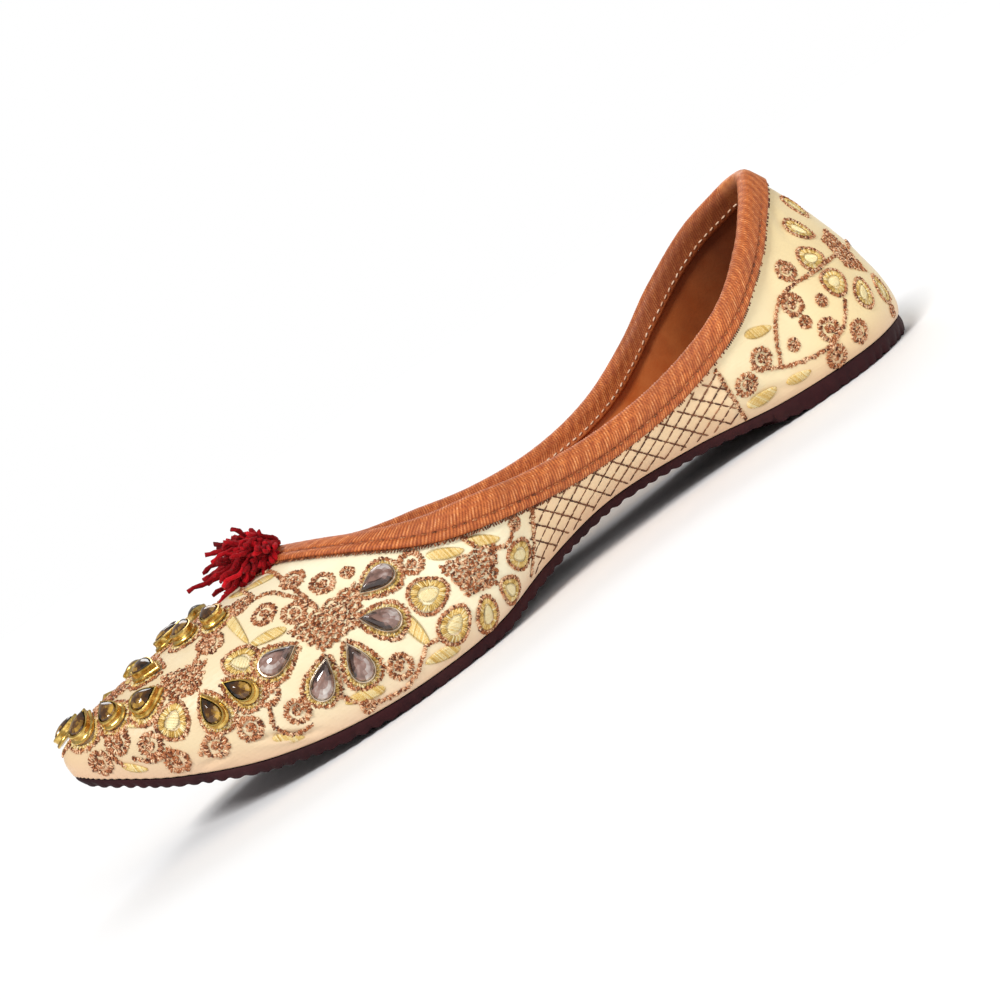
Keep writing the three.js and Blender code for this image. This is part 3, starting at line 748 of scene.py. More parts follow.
def outsole_shape(column, row):
    turn = column / SOLE_COLUMNS
    lateral, medial = sole_outline(turn, -1, 0), sole_outline(turn, 1, 0)
    out_lateral, out_medial = feather_outward(2 - turn), feather_outward(turn)
    groove = ridge_groove(along_at(turn, 0, LENGTH))
    # Going round the section: under face, medial edge, top face, lateral edge.
    ends = np.cumsum([0, SOLE_UNDER_CELLS, SOLE_EDGE_CELLS, SOLE_TOP_CELLS, SOLE_EDGE_CELLS])
    part = [np.clip((row - ends[i]) / (ends[i + 1] - ends[i]), 0, 1) for i in range(4)]
    across = np.where(row <= ends[2], part[0], 1 - part[2])
    up_edge = np.where(row <= ends[2], part[1], np.where(row <= ends[3], 1, 1 - part[3]))
    bulge = np.sin(math.pi * up_edge) * EDGE_BULGE
    chamfer = (SOLE_CHAMFER + RIDGE_INSET * groove) * (1 - up_edge) ** 1.5
    inset = chamfer - bulge * (1 - groove * (1 - up_edge))
    low = lateral - scaled(out_lateral, inset)
    high = medial - scaled(out_medial, inset)
    point = low + scaled(high - low, across)
    along = Y_MIDDLE - point[:, 1]
    under = sole_under(along) + RIDGE_DEPTH * groove * (1 - up_edge) + 0.02
    top = sole_top(turn_at(along, 0, LENGTH))
    point[:, 2] = under + (np.maximum(top, under + LEAST_EDGE) - under) * up_edge
    return point


SOLE_ROWS = SOLE_UNDER_CELLS + SOLE_EDGE_CELLS + SOLE_TOP_CELLS + SOLE_EDGE_CELLS
ridged_sole = draped_sheet("ridged_sole", SOLE_COLUMNS, SOLE_ROWS, outsole_shape)
close_ends(ridged_sole)
finished(ridged_sole, SOLE_RUBBER, "outsole_rubber", "outsole")

# ---- upper: silk outside, leather lining inside --------------------------------------------------
SILK_COLUMNS = 760
SILK_OUTER_CELLS = 72
SILK_INNER_CELLS = 16
SILK_ROWS = SILK_OUTER_CELLS + SILK_INNER_CELLS  # the last row closes on the first
TUCKS = 95               # small tucks where the silk is drawn under the toe, for each turn of one
TUCK_DEPTH = 0.16
TUCK_CLIMB = 0.05        # the climb in which they fade
SILK_WAVE = 0.1
# Creases pulled into the silk, on each side: (along, height) at both ends, depth and half width.
CREASES = [
    ((214, 15.5), (205.5, 11), 0.5, 0.9),
    ((209, 13), (199, 7.5), 0.45, 0.8),
    ((203.5, 19), (197.5, 9), 0.4, 0.9),
    ((226, 15.5), (219, 15), 0.4, 0.8),
    ((156, 9.5), (146, 6.5), 0.3, 0.9),
    ((62, 13), (50, 7.5), 0.3, 1.2),
    ((22, 50), (27, 38), 0.3, 1.6),
]


def crease_depth(points):
    """How deep the creases press in at each point."""
    pressed = np.zeros(len(points))
    for side in (1, -1):
        for start, end, depth, half_width in CREASES:
            a = seen_from_side(side, *start)
            b = seen_from_side(side, *end)
            line = b - a
            part = ((points - a) @ line) / (line @ line)
            away = np.linalg.norm(points - a - np.outer(np.clip(part, 0, 1), line), axis=1)
            fade = np.clip(1 - np.abs(2 * part - 1) ** 3, 0, 1)
            trough = np.exp(-(away / half_width) ** 2)
            ridge = np.exp(-((away - 2.2 * half_width) / half_width) ** 2)
            pressed += depth * fade * (trough - 0.45 * ridge)
    return pressed


def silk_climb(row):
    part = np.clip(row / SILK_OUTER_CELLS, 0, 1)
    back = np.clip((row - SILK_OUTER_CELLS - 1) / (SILK_INNER_CELLS - 2), 0, 1)
    climb = np.where(row <= SILK_OUTER_CELLS, part, 1 - back)
    return 0.6 * climb + 0.4 * along_at(climb, 0, 1)


def silk_shape(column, row):
    turn = 2 * column / SILK_COLUMNS
    row = row % SILK_ROWS
    climb = silk_climb(row)
    surface = wall_point(turn, climb)
    on_toe = np.clip((turn % 2 - 0.75) * 8, 0, 1) * np.clip((1.25 - turn % 2) * 8, 0, 1)
    tucks = TUCK_DEPTH * np.exp(-climb / TUCK_CLIMB) * np.sin(2 * math.pi * TUCKS * turn) * on_toe
    across, along, height = surface.T
    waves = np.sin(along * 0.31 + height * 0.2) * np.sin(height * 0.42 + across * 0.2)
    pressed = crease_depth(surface) + tucks + SILK_WAVE * waves * np.sin(math.pi * climb)
    return wall_depth(turn, climb, np.where(row <= SILK_OUTER_CELLS, pressed, SILK))


def silk_above_sole(column, row):
    turn = 2 * column / SILK_COLUMNS
    return np.linalg.norm(wall_point(turn, silk_climb(row % SILK_ROWS)) - feather_point(turn), axis=1)


def silk_waist(column, row):
    """1 on the waist, where the lattice is sewn, and 0 elsewhere."""
    turn = 2 * column / SILK_COLUMNS
    along = along_at(np.minimum(turn, 2 - turn), 0, LENGTH)
    return np.clip((along - 65) / 3, 0, 1) * np.clip((135 - along) / 5, 0, 1)


silk_upper = draped_sheet("silk_upper", SILK_COLUMNS, SILK_ROWS, silk_shape,
                          {"above_sole": silk_above_sole, "waist": silk_waist})
finished(silk_upper, SILK_CLOTH, "upper_silk", "upper")

LINING_COLUMNS = 420
LINING_CELLS = 40
LINING_BACK_CELLS = 12
LINING_ROWS = LINING_CELLS + LINING_BACK_CELLS   # the last row closes on the first
LINING_RIPPLES = 19
LINING_RIPPLE = 0.12
# Painted shade inside the heel: its strength, and where it starts and ends along the shoe.
LINING_SHADE_AMOUNT = 0.85
LINING_SHADE_FROM = 18.0
LINING_SHADE_TO = 88.0
BEHIND_SILK = 0.06


def lining_shape(column, row):
    turn = 2 * column / LINING_COLUMNS
    row = row % LINING_ROWS
    inside = row <= LINING_CELLS
    back = np.clip((row - LINING_CELLS - 1) / (LINING_BACK_CELLS - 2), 0, 1)
    climb = np.where(inside, row / LINING_CELLS, 1 - back)
    ripple = LINING_RIPPLE * np.sin(math.pi * LINING_RIPPLES * turn) * np.sin(math.pi * climb)
    return wall_depth(turn, climb, np.where(inside, WALL + ripple, SILK + BEHIND_SILK))


def lining_painted_heel_shade(column, row):
    """The lining is painted darker inside the heel, as painted shade: 0 at the waist, most at the back."""
    turn = 2 * column / LINING_COLUMNS
    along = along_at(np.minimum(turn, 2 - turn), 0, LENGTH)
    return LINING_SHADE_AMOUNT * np.clip((LINING_SHADE_TO - along) / (LINING_SHADE_TO - LINING_SHADE_FROM), 0, 1) ** 1.2


leather_lining = draped_sheet("leather_lining", LINING_COLUMNS, LINING_ROWS, lining_shape,
                              {"painted_heel_shade": lining_painted_heel_shade})
finished(leather_lining, LINING_LEATHER, "binding_leather")

# ---- binding -------------------------------------------------------------------------------------
BINDING_COLUMNS = 2600
RIB_PITCH = 0.76
RIB_RISE = 0.13
RIB_LEAN = 0.26          # how far a rib runs along the strip for each unit that it climbs
GROOVE_BELOW_RIM = 2.75  # the sewn line in the middle of the outside
PEAK_PATCH = 7.0         # half width of the smooth join at the heel peak
GROOVE_FADE = (14.0, 38.0)  # the sewn line sinks in between these distances from the heel peak
INNER_SHADE_END = 95.0   # painted shade darkens the inner leg from the heel peak to here
LEG_CELLS = 10
INNER_CELLS = 7
CROWN_CELLS = 8
GROOVE_WIDTH = 0.42
GROOVE_DEPTH = 0.34
EDGE_ROUND = 0.7         # the outer leg's lower edge is rounded within this distance
binding_turns, topline_length = even_rim_turns(BINDING_COLUMNS)
strip_part = np.arange(BINDING_COLUMNS) / BINDING_COLUMNS
along_strip = strip_part * topline_length
from_peak = np.minimum(along_strip, topline_length - along_strip)


def binding_rows():
    """Each row of the strip's section: its kind, and its distance below the rim or angle over the crown."""
    rows = [("out", BINDING_OUTSIDE * (1 - i / LEG_CELLS)) for i in range(LEG_CELLS + 1)]
    rows += [("crown", math.pi * i / CROWN_CELLS) for i in range(1, CROWN_CELLS)]
    rows += [("in", BINDING_INSIDE * i / INNER_CELLS) for i in range(INNER_CELLS + 1)]
    rows += [("under_in", BINDING_INSIDE * (1 - i / 2)) for i in range(3)]
    rows += [("under_out", BINDING_OUTSIDE * i / 2) for i in range(3)]
    return rows + [rows[0]]


def rib_height(run):
    """Height of the slanting ribs in every column, at a distance across the strip."""
    count = round(topline_length / RIB_PITCH)
    wander = 0.1 * np.sin(along_strip * 1.13 + run * 0.9) + 0.08 * np.sin(along_strip * 0.41 - run * 0.5)
    phase = 2 * math.pi * (strip_part * count + run * RIB_LEAN / RIB_PITCH + wander)
    uneven = 0.76 + 0.24 * np.sin(along_strip * 1.7 + run * 1.3 + 1.7 * np.sin(along_strip * 0.23))
    ribbed = np.clip((from_peak - PEAK_PATCH) / 1.5, 0, 1)
    return (0.5 + 0.5 * np.sin(phase)) * uneven * ribbed + 0.75 * (1 - ribbed)


def binding_columns_at():
    """For each column and row of the strip: its place, the height of its rib and how much painted shade it
    has.
    """
    turns = binding_turns[:BINDING_COLUMNS]
    centre = wall_depth(turns, 1.0, WALL / 2)
    out = wall_normal(turns, np.ones_like(turns))
    upward = unit(wall_point(turns, 1.0) - wall_point(turns, 1 - SAMPLE))
    radius = WALL / 2 + BINDING_GAP + BINDING
    seam = np.clip((from_peak - GROOVE_FADE[0]) / (GROOVE_FADE[1] - GROOVE_FADE[0]), 0, 1)
    # Painted shade on the inner leg and the inner half of the crown, fading away from the heel peak.
    wear_and_shade = np.clip(1 - from_peak / INNER_SHADE_END, 0, 1)
    places, ribs, shades = [], [], []
    for kind, value in binding_rows():
        if kind == "crown":
            rib = rib_height(value * radius)
            direction = out * math.cos(value) + upward * math.sin(value)
            places.append(centre + upward * GAP + scaled(direction, radius + RIB_RISE * (rib - 0.5)))
            ribs.append(rib)
            shades.append(wear_and_shade * max(0.0, -math.cos(value)))
            continue
        if kind == "out":
            rib = rib_height(-value)
            groove = seam * math.exp(-((value - GROOVE_BELOW_RIM) / GROOVE_WIDTH) ** 2)
            edge = max(0.0, 1 - (BINDING_OUTSIDE - value) / EDGE_ROUND)
            rise = RIB_RISE * (rib - 0.5)
            depth = -BINDING_GAP - BINDING - rise + GROOVE_DEPTH * groove + 0.5 * edge ** 2
            # The rib mark is lowered in the sewn groove and at the rounded lower edge: painted shade.
            ribs.append(rib * (1 - 0.75 * groove) * (1 - 0.4 * edge))
        elif kind == "in":
            rib = rib_height(math.pi * radius + value)
            plain = np.clip((value - 3.2) / 0.5, 0, 1)
            depth = WALL + BINDING_GAP + BINDING + RIB_RISE * (rib - 0.5) * (1 - plain)
            ribs.append(rib * (1 - plain) + 0.4 * plain)
        else:
            depth = WALL + BINDING_GAP if kind == "under_in" else -BINDING_GAP
            # A low rib mark under the strip: painted shade.
            ribs.append(np.full(BINDING_COLUMNS, 0.2))
        shades.append(wear_and_shade * (kind == "in"))
        places.append(wall_depth(turns, climb_below_rim(turns, value), depth))
    return np.stack(places, 1), np.stack(ribs, 1), np.stack(shades, 1)


binding_places, binding_ribs, binding_shades = binding_columns_at()
whipped_binding = draped_sheet(
    "whipped_binding", BINDING_COLUMNS, len(binding_rows()) - 1,
    lambda column, row: binding_places[column % BINDING_COLUMNS, row],
    {"rib": lambda column, row: binding_ribs[column % BINDING_COLUMNS, row],
     "painted_heel_shade": lambda column, row: binding_shades[column % BINDING_COLUMNS, row]})
finished(whipped_binding, BINDING_LEATHER, "binding_leather", "topline_binding")

# ---- insole --------------------------------------------------------------------------------------
INSOLE_COLUMNS = 300
INSOLE_ACROSS = 20
INSOLE_UNDER = 8
INSOLE_ROUNDING = 0.45
INSOLE_TOP_INSET = 0.3
INSOLE_EDGE = FOOT_OF_WALL + GAP
BORDER_WIDTH = 6.2
BORDER_THICK = 0.45


def insole_top(along):
    return sole_top(turn_at(along, 0, LENGTH)) + GAP + INSOLE


def insole_shape(column, row):
    turn = column / INSOLE_COLUMNS
    over = row <= INSOLE_ACROSS
    across = np.where(over, row / INSOLE_ACROSS, 1 - (row - INSOLE_ACROSS) / INSOLE_UNDER)
    rounding = np.where(over, INSOLE_ROUNDING * (np.abs(2 * across - 1) ** 14), 0)
    lateral = sole_outline(turn, -1, INSOLE_EDGE + INSOLE_TOP_INSET * over)
    medial = sole_outline(turn, 1, INSOLE_EDGE + INSOLE_TOP_INSET * over)
    point = lateral + scaled(medial - lateral, across)
    along = Y_MIDDLE - point[:, 1]
    point[:, 2] = np.where(over, insole_top(along) - rounding, insole_top(along) - INSOLE)
    return point


insole_sheet = draped_sheet("insole_sheet", INSOLE_COLUMNS, INSOLE_ACROSS + INSOLE_UNDER, insole_shape)
close_ends(insole_sheet)
finished(insole_sheet, INSOLE_SHEET, "insole_leather", "insole")

BORDER_COLUMNS = 520
BORDER_START = INSOLE_EDGE + 0.35
# The border strip's section: distance in from its outer edge, and height above the insole.
BORDER_PROFILE = [(0.0, -0.3), (0.0, 0.25), (0.25, BORDER_THICK), (2.0, BORDER_THICK),
                  (4.4, BORDER_THICK), (BORDER_WIDTH - 0.3, BORDER_THICK), (BORDER_WIDTH, 0.2),
                  (BORDER_WIDTH, -0.3), (0.0, -0.3)]


def border_shape(column, row):
    turn = 2 * column / BORDER_COLUMNS
    inward, above = np.array(BORDER_PROFILE)[row].T
    point = feather_point(turn) - scaled(feather_outward(turn), BORDER_START + inward)
    point[:, 2] = insole_top(Y_MIDDLE - point[:, 1]) + above
    return point


insole_border = draped_sheet("insole_border", BORDER_COLUMNS, len(BORDER_PROFILE) - 1, border_shape)
finished(insole_border, INSOLE_BORDER, "insole_leather")


# ---- thread --------------------------------------------------------------------------------------
def stitch_pattern():
    """One short raised stitch along X: three long sides and two drawn-out ends."""
    deselect()
    bpy.ops.mesh.primitive_cylinder_add(vertices=3, radius=0.5, depth=0.56, end_fill_type="TRIFAN",
                                        rotation=(0, math.pi / 2, 0))
    piece = bpy.context.active_object
    bpy.ops.object.transform_apply(location=False, rotation=True, scale=False)
    select_only(piece)
    bpy.ops.object.mode_set(mode="EDIT")
    for side in (-1, 1):
        bpy.ops.mesh.select_all(action="DESELECT")
        bpy.ops.object.mode_set(mode="OBJECT")
        for vertex in piece.data.vertices:
            vertex.select = max(abs(vertex.co.y), abs(vertex.co.z)) < 0.05 and vertex.co.x * side > 0
        bpy.ops.object.mode_set(mode="EDIT")
        bpy.ops.transform.translate(value=(0.22 * side, 0, 0))
    bpy.ops.object.mode_set(mode="OBJECT")
    places = vertex_places(piece.data)
    # The edge that points away from the middle the most in Z becomes the stitch's crest.
    turned = places if places[:, 2].max() > -places[:, 2].min() else places * np.array([1, -1, -1])
    low, high = turned.min(0), turned.max(0)
    shaped = (turned - (low + high) / 2) / (high - low)
    shaped[:, 2] += 0.32
    faces = [list(polygon.vertices) for polygon in piece.data.polygons]
    triangles = [[face[0], face[i], face[i + 1]] for face in faces for i in range(1, len(face) - 1)]
    bpy.data.objects.remove(piece)
    return shaped, np.array(triangles)


STITCH_PLACES, STITCH_FACES = stitch_pattern()


class Thread:
    """Stitches of one thread, gathered until they are joined into one piece."""

    def __init__(self, name):
        self.name = name
        self.rows = []

    def stitch(self, at, ahead, normal, length, width, height, tone):
        self.rows.append((*at, *ahead, *normal, length, width, height, tone))

    def sewn(self, material, slot_name):
        rows = np.array(self.rows)
        centre, ahead, normal = rows[:, 0:3], rows[:, 3:6], rows[:, 6:9]
        ahead = unit(ahead - scaled(normal, (ahead * normal).sum(1)))
        sideways = np.cross(normal, ahead)
        size = rows[:, 9:12]
        local = STITCH_PLACES[None, :, :] * size[:, None, :]
        places = (centre[:, None, :] + local[..., 0:1] * ahead[:, None, :]
                  + local[..., 1:2] * sideways[:, None, :] + local[..., 2:3] * normal[:, None, :])
        count = len(STITCH_PLACES)
        faces = (STITCH_FACES[None] + count * np.arange(len(rows))[:, None, None]).reshape(-1, 3)
        piece = piece_from(self.name, places.reshape(-1, 3), faces, np.repeat(rows[:, 12], count))
        return finished(piece, material, slot_name)


def drawn_tone(middle, scatter):
    return min(1, max(0, dice.gauss(middle, scatter)))


def walked(line, step):
    """Points at even steps along a line of points, each with the direction of travel."""
    line = np.array(line, float)
    lengths = np.linalg.norm(np.diff(line, axis=0), axis=1)
    reached = np.concatenate([[0], np.cumsum(lengths)])
    count = max(1, round(reached[-1] / step))
    at = (np.arange(count) + 0.5) * reached[-1] / count
    points = np.stack([np.interp(at, reached, line[:, i]) for i in range(3)], 1)
    pieces = np.clip(np.searchsorted(reached, at) - 1, 0, len(lengths) - 1)
    return points, unit(np.diff(line, axis=0))[pieces]


def turned_about(vector, normal, angle):
    return vector * math.cos(angle) + np.cross(normal, vector) * math.sin(angle)


LINE_LIFT = 0.42         # height of the stitches of a raised line


def crinkled_line(thread, line, width, per_mm, slant, stitch):
    """A raised band of short crossed stitches along a line on the wall."""
    for point, ahead in zip(*walked(line, 1 / per_mm)):
        normal = on_wall(point)[1]
        sideways = np.cross(normal, ahead)
        foot, normal = on_wall(point + sideways * dice.uniform(-0.5, 0.5) * width * 0.62)
        angle = dice.choice((-1, 1)) * dice.uniform(*slant)
        thread.stitch(foot + normal * dice.uniform(0.0, 0.16), turned_about(ahead, normal, angle), normal,
                      stitch * dice.uniform(0.75, 1.2) * min(1, width / 0.9), dice.uniform(0.34, 0.5),
                      dice.uniform(0.75, 1.25) * LINE_LIFT, drawn_tone(0.52, 0.33))


def smooth_through(points, cells=10):
    """A smooth line through a few points (Catmull-Rom)."""
    points = [np.array(p, float) for p in points]
    padded = [2 * points[0] - points[1], *points, 2 * points[-1] - points[-2]]
    line = []
    for before, here, after, beyond in zip(padded, padded[1:], padded[2:], padded[3:]):
        for t in np.arange(cells) / cells:
            line.append(0.5 * (2 * here + (after - before) * t
                               + (2 * before - 5 * here + 4 * after - beyond) * t ** 2
                               + (3 * here - before - 3 * after + beyond) * t ** 3))
    return line + [points[-1]]


class Motif:
    """A small flat drawing on the wall: a middle, and the direction in which it points."""

    def __init__(self, middle, towards):
        self.middle, self.normal = on_wall(middle)
        ahead = np.array(towards, float) - self.middle
        ahead = ahead - self.normal * (ahead @ self.normal)
        if np.linalg.norm(ahead) < 1e-6:
            ahead = np.cross(self.normal, [0.0, 0.31, 0.95])
        self.ahead = unit(ahead)
        self.sideways = np.cross(self.normal, self.ahead)

    def at(self, u, v):
        return on_wall(self.middle + self.ahead * u + self.sideways * v)[0]

    def line(self, pairs):
        return [self.at(u, v) for u, v in pairs]


def drop_outline(length, width, gap):
    """A drop whose point is ahead, left open there by an angle to each side."""
    angles = np.linspace(gap, 2 * math.pi - gap, 41)
    taper = np.abs(np.sin(angles / 2)) ** 1.3
    return [(math.cos(a) * length / 2, math.sin(a) * t * width / 1.62) for a, t in zip(angles, taper)]


def ring(radius, start, steps=28):
    return [(radius * math.cos(start + 2 * math.pi * i / steps),
             radius * math.sin(start + 2 * math.pi * i / steps)) for i in range(steps + 1)]


def rosette(middle, radius):
    """A wheel of crossed stitches with a curl in its middle and silk showing between."""
    motif = Motif(middle, middle)
    start = dice.uniform(0, 6.28)
    crinkled_line(rosettes, motif.line(ring(radius * 0.79, start)), radius * 0.42, 6.4, (0.9, 1.57), 1.2)
    curl = [(radius * 0.42 * (1 - 0.07 * i) * math.cos(start + i * 0.62),
             radius * 0.42 * (1 - 0.07 * i) * math.sin(start + i * 0.62)) for i in range(14)]
    crinkled_line(rosettes, motif.line(curl), radius * 0.26, 6.0, (0.4, 1.4), 0.9)


def basket(motif, width, height):
    """A calyx in rows of crossed stitches, wide ahead and narrow behind, with silk showing between."""
    rows = max(3, round(height / 1.45))
    for i in range(rows):
        v = height * (0.5 - (i + 0.5) / rows)
        half = width / 2 * (0.62 + 0.38 * (v / height + 0.5)) * (1 - 0.25 * max(0, -v / height) ** 2)
        wave = [(v + 0.45 * math.sin(3.3 * side * half * 2 / 2.2 + i), side * half)
                for side in np.linspace(-1, 1, 24)]
        crinkled_line(baskets, motif.line(wave), 0.95, 4.6, (0.4, 1.5), 1.0)
    scallops = [(height * 0.5 + 0.9 * abs(math.sin(side * 7.5)), side * width / 2)
                for side in np.linspace(-1, 1, 40)]
    crinkled_line(baskets, motif.line(scallops), 0.8, 4.6, (0.6, 1.5), 0.9)


def satin_fill(motif, length, width, lean, step, tone):
    """Long flat stitches side by side, across a leaf or petal."""
    steps = round(length / step)
    for i in range(steps):
        u = length * ((i + 0.5) / steps - 0.5)
        part = 2 * u / length
        half = width / 2 * math.sqrt(max(0.02, 1 - part * part)) * (1 - 0.22 * part)
        foot, normal = on_wall(motif.at(u, 0))
        direction = turned_about(motif.sideways, normal, lean)
        gold_fill.stitch(foot + normal * 0.04, direction, normal, 2 * half, step * 1.15, 0.3,
                         drawn_tone(tone, 0.16))


def egg_outline(length, width, steps=44):
    """An egg whose narrow end is ahead."""
    angles = [2 * math.pi * i / steps for i in range(steps + 1)]
    return [(math.cos(a) * length / 2, math.sin(a) * (1 - 0.26 * math.cos(a)) * width / 2)
            for a in angles]


def petal(motif, length, width):
    """A pale middle, a gold ring of stitches that point outward, and a copper outline."""
    satin_fill(motif, length * 0.46, width * 0.5, 0.3, 0.36, 1.0)
    for u, v in egg_outline(length * 0.69, width * 0.66, 46)[:-1]:
        foot, normal = on_wall(motif.at(u, v))
        outward = motif.ahead * u + motif.sideways * v
        direction = turned_about(unit(outward), normal, dice.uniform(-0.35, 0.35))
        gold_fill.stitch(foot + normal * 0.05, direction, normal, min(length, width) * 0.24, 0.5, 0.4,
                         drawn_tone(0.5, 0.25))
    around = motif.line(egg_outline(length * 0.97, width * 0.97))
    crinkled_line(outlines, around, 0.72, 6.6, (0.7, 1.57), 1.15)


def leaf(start, end, width):
    length = float(np.linalg.norm(end - start))
    satin_fill(Motif((start + end) / 2, end), length * 0.97, width * 1.3, 0.5, 0.34, 0.62)


def stem(points):
    crinkled_line(vines, smooth_through(points), 1.1, 5.2, (0.5, 1.5), 1.1)


rosettes = Thread("copper_rosette_stitches")
baskets = Thread("copper_basket_stitches")
outlines = Thread("copper_outline_stitches")
vines = Thread("copper_vine_stitches")
gold_fill = Thread("gold_satin_stitches")
lattice_thread = Thread("lattice_stitches")

# Flowers, leaves and stems on each side: (along, height), from the back of the heel and the ground.
SIDE_BASKETS = [
    ((183.6, 26.8), (183.6, 40), 19.5, 8.6),
    ((149.6, 17), (147, 30), 15.5, 8.6),
]
SIDE_ROSETTES = [
    (184.2, 39.4), (179.8, 35.1), (194.6, 36.7), (189.2, 33.3), (197.5, 40.7), (207.8, 37.7),
    (160.7, 27.7), (177.2, 10), (201.7, 14.8), (212.3, 17.3), (220.7, 18.1), (229.4, 19.6),
    (237.6, 30.7), (232.2, 26.2), (243.5, 28.5), (205.2, 22.1), (34.65, 33.4), (39.35, 25.4),
    (55.65, 18.9), (62.05, 15.5), (34.55, 14.9), (36.05, 7.9), (26.55, 9.7), (243.3, 35.3),
]
SMALL_ROSETTES = [
    (173.7, 33.9), (134, 21), (31.35, 22), (39.15, 19.9), (45.55, 17), (9.85, 7.6), (199.8, 24.6),
    (188, 6.4),
]
# Petals: middle, the place that they point to, length and width.
SIDE_PETALS = [
    ((162, 19.6), (151, 18.5), 10.4, 8.8), ((160.9, 10.4), (151, 16), 10, 8),
    ((152.5, 7.6), (150, 15), 9.4, 6.6), ((143.8, 8.8), (149, 16), 8.6, 6.4),
    ((136.9, 14), (148, 17.5), 8.8, 7.4), ((225.1, 28.3), (217, 34), 9.4, 8.2),
    ((205.6, 30.8), (213, 35), 9.6, 8), ((24.6, 32), (12, 28), 9.2, 7.4),
    ((23.6, 23.8), (12, 27), 9, 7.8), ((17.2, 16.9), (10, 26), 9.8, 6.8),
    ((8.8, 14.2), (7, 25), 9.2, 5.8), ((20.4, 39.7), (12, 29), 9.8, 6.2),
    ((13.4, 44.8), (11, 30), 9.2, 5.8),
]
# Leaves: one end and the other, and the width.
SIDE_LEAVES = [
    ((186, 42.2), (194, 42.8), 3.2), ((200.2, 42.4), (201.6, 32.8), 2.8),
    ((192.8, 31.6), (202, 32.6), 3), ((182.6, 8.2), (192.2, 10), 3.2),
    ((170.4, 19.6), (168.6, 10), 3.4), ((162.6, 5.6), (172, 7), 3.2),
    ((157, 26.6), (148.4, 23.2), 3.2), ((147.2, 24.2), (139.2, 20.4), 3),
    ((56.75, 25.9), (48.35, 24.3), 3), ((63.35, 9.9), (54.75, 10.5), 4.2),
    ((51.75, 9.5), (44.35, 8.9), 3), ((209.6, 12.4), (203.4, 8.8), 2.6),
    ((234.5, 33.6), (229, 30.6), 2.6), ((240, 25.4), (235.6, 21.8), 2.4),
]
SIDE_STEMS = [
    [(192.8, 13.3), (189.6, 8.8), (185.3, 6), (178.4, 5), (173, 7.5), (169.3, 10.4), (164.6, 9.2)],
    [(193.6, 40.8), (193.4, 43.4), (189.2, 44.2), (186.2, 43.1), (185.6, 38), (184.6, 32)],
    [(196, 40.4), (190.5, 39.8), (187, 36), (184.4, 31.4)],
    [(147.5, 26.5), (146.3, 23.7), (145.6, 21.6)],
    [(143, 19.5), (138.7, 18), (135.6, 19.4)],
    [(127.9, 21.6), (130.4, 16), (133.4, 11), (136.2, 7.4)],
    [(68, 23.4), (67.2, 18), (66, 12.3), (64.8, 7.5)],
    [(51.55, 14.1), (48.55, 21.7), (43.15, 27.6), (37.15, 29.4), (29.85, 29.1), (20.75, 28.9),
     (13.75, 28.5)],
    [(51.55, 14.1), (46.55, 12.3), (36.95, 11.1), (29.35, 13.9), (24.75, 18.7)],
    [(59.25, 18.5), (54.75, 15.7), (51.55, 14.1)],
    [(205.8, 20), (207.8, 15), (205.2, 10.6), (200.4, 10.2)],
    [(212.3, 20), (216, 22), (220.6, 21.2), (224.6, 18.4)],
    [(238.4, 34), (240.6, 29.6), (239.4, 24.8)],
    [(229, 23.4), (233, 22.6), (237, 25.6)],
]
# On top of the vamp: (across, along).
TOP_BASKETS = [
    ((4, 204.5), (4, 190), 15.5, 7.8), ((24.6, 218.4), (12, 209), 12.5, 7),
    ((-16.1, 211.8), (-2, 202), 13.5, 9), ((2.6, 233.6), (3.4, 220), 16, 8.6),
]
TOP_ROSETTES = [(7.3, 220.9), (-0.6, 220.8), (21.8, 208.8), (-15.2, 204.2), (-23.8, 196)]
TOP_LEAVES = [
    ((11.6, 225.2), (5.2, 228.2), 3), ((-4.8, 225), (1, 228), 3), ((-8.6, 193), (-1.6, 197.4), 3),
    ((16, 193), (9.6, 197.2), 3), ((-14.6, 187.4), (-10, 184.4), 3.2),
]
TOP_STEMS = [
    [(3.4, 196.6), (4, 200.2)], [(3.2, 216.6), (3.4, 223.4), (3, 228.6)],
    [(1.4, 220.8), (3.4, 219.4), (5.4, 220.9)], [(22.6, 211), (24, 215)], [(-15.4, 206), (-15.8, 208.4)],
]
ROSETTE = 3.35           # radii of the three sizes of rosette
TOP_ROSETTE = 2.7
SMALL_ROSETTE = 1.8


def stone_seats():
    """Every set stone: node name, place on the wall, the place that it points to, and its size."""
    seats = []
    for middle, stones in VAMP_FLOWERS:
        seats += [(seen_from_above(*spot), seen_from_above(*middle), VAMP_STONE) for spot in stones]
    for side, middle, stones in HANGING_STONES:
        seats += [(seen_from_side(side, *spot), seen_from_side(side, *middle), HANGING_STONE)
                  for spot in stones]
    named = [(f"vamp_stone_{i + 1:02d}", *seat) for i, seat in enumerate(seats)]
    middle, stones = SIDE_FLOWER
    low = [(seen_from_side(side, *spot), seen_from_side(side, *middle), SIDE_STONE)
           for side in (1, -1) for spot in stones]
    return named + [(f"side_stone_{i + 1:02d}", *seat) for i, seat in enumerate(low)]


STONES = stone_seats()


def clear_of_stones(point, room):
    return all(np.linalg.norm(point - seat) > room for _, seat, _, _ in STONES)


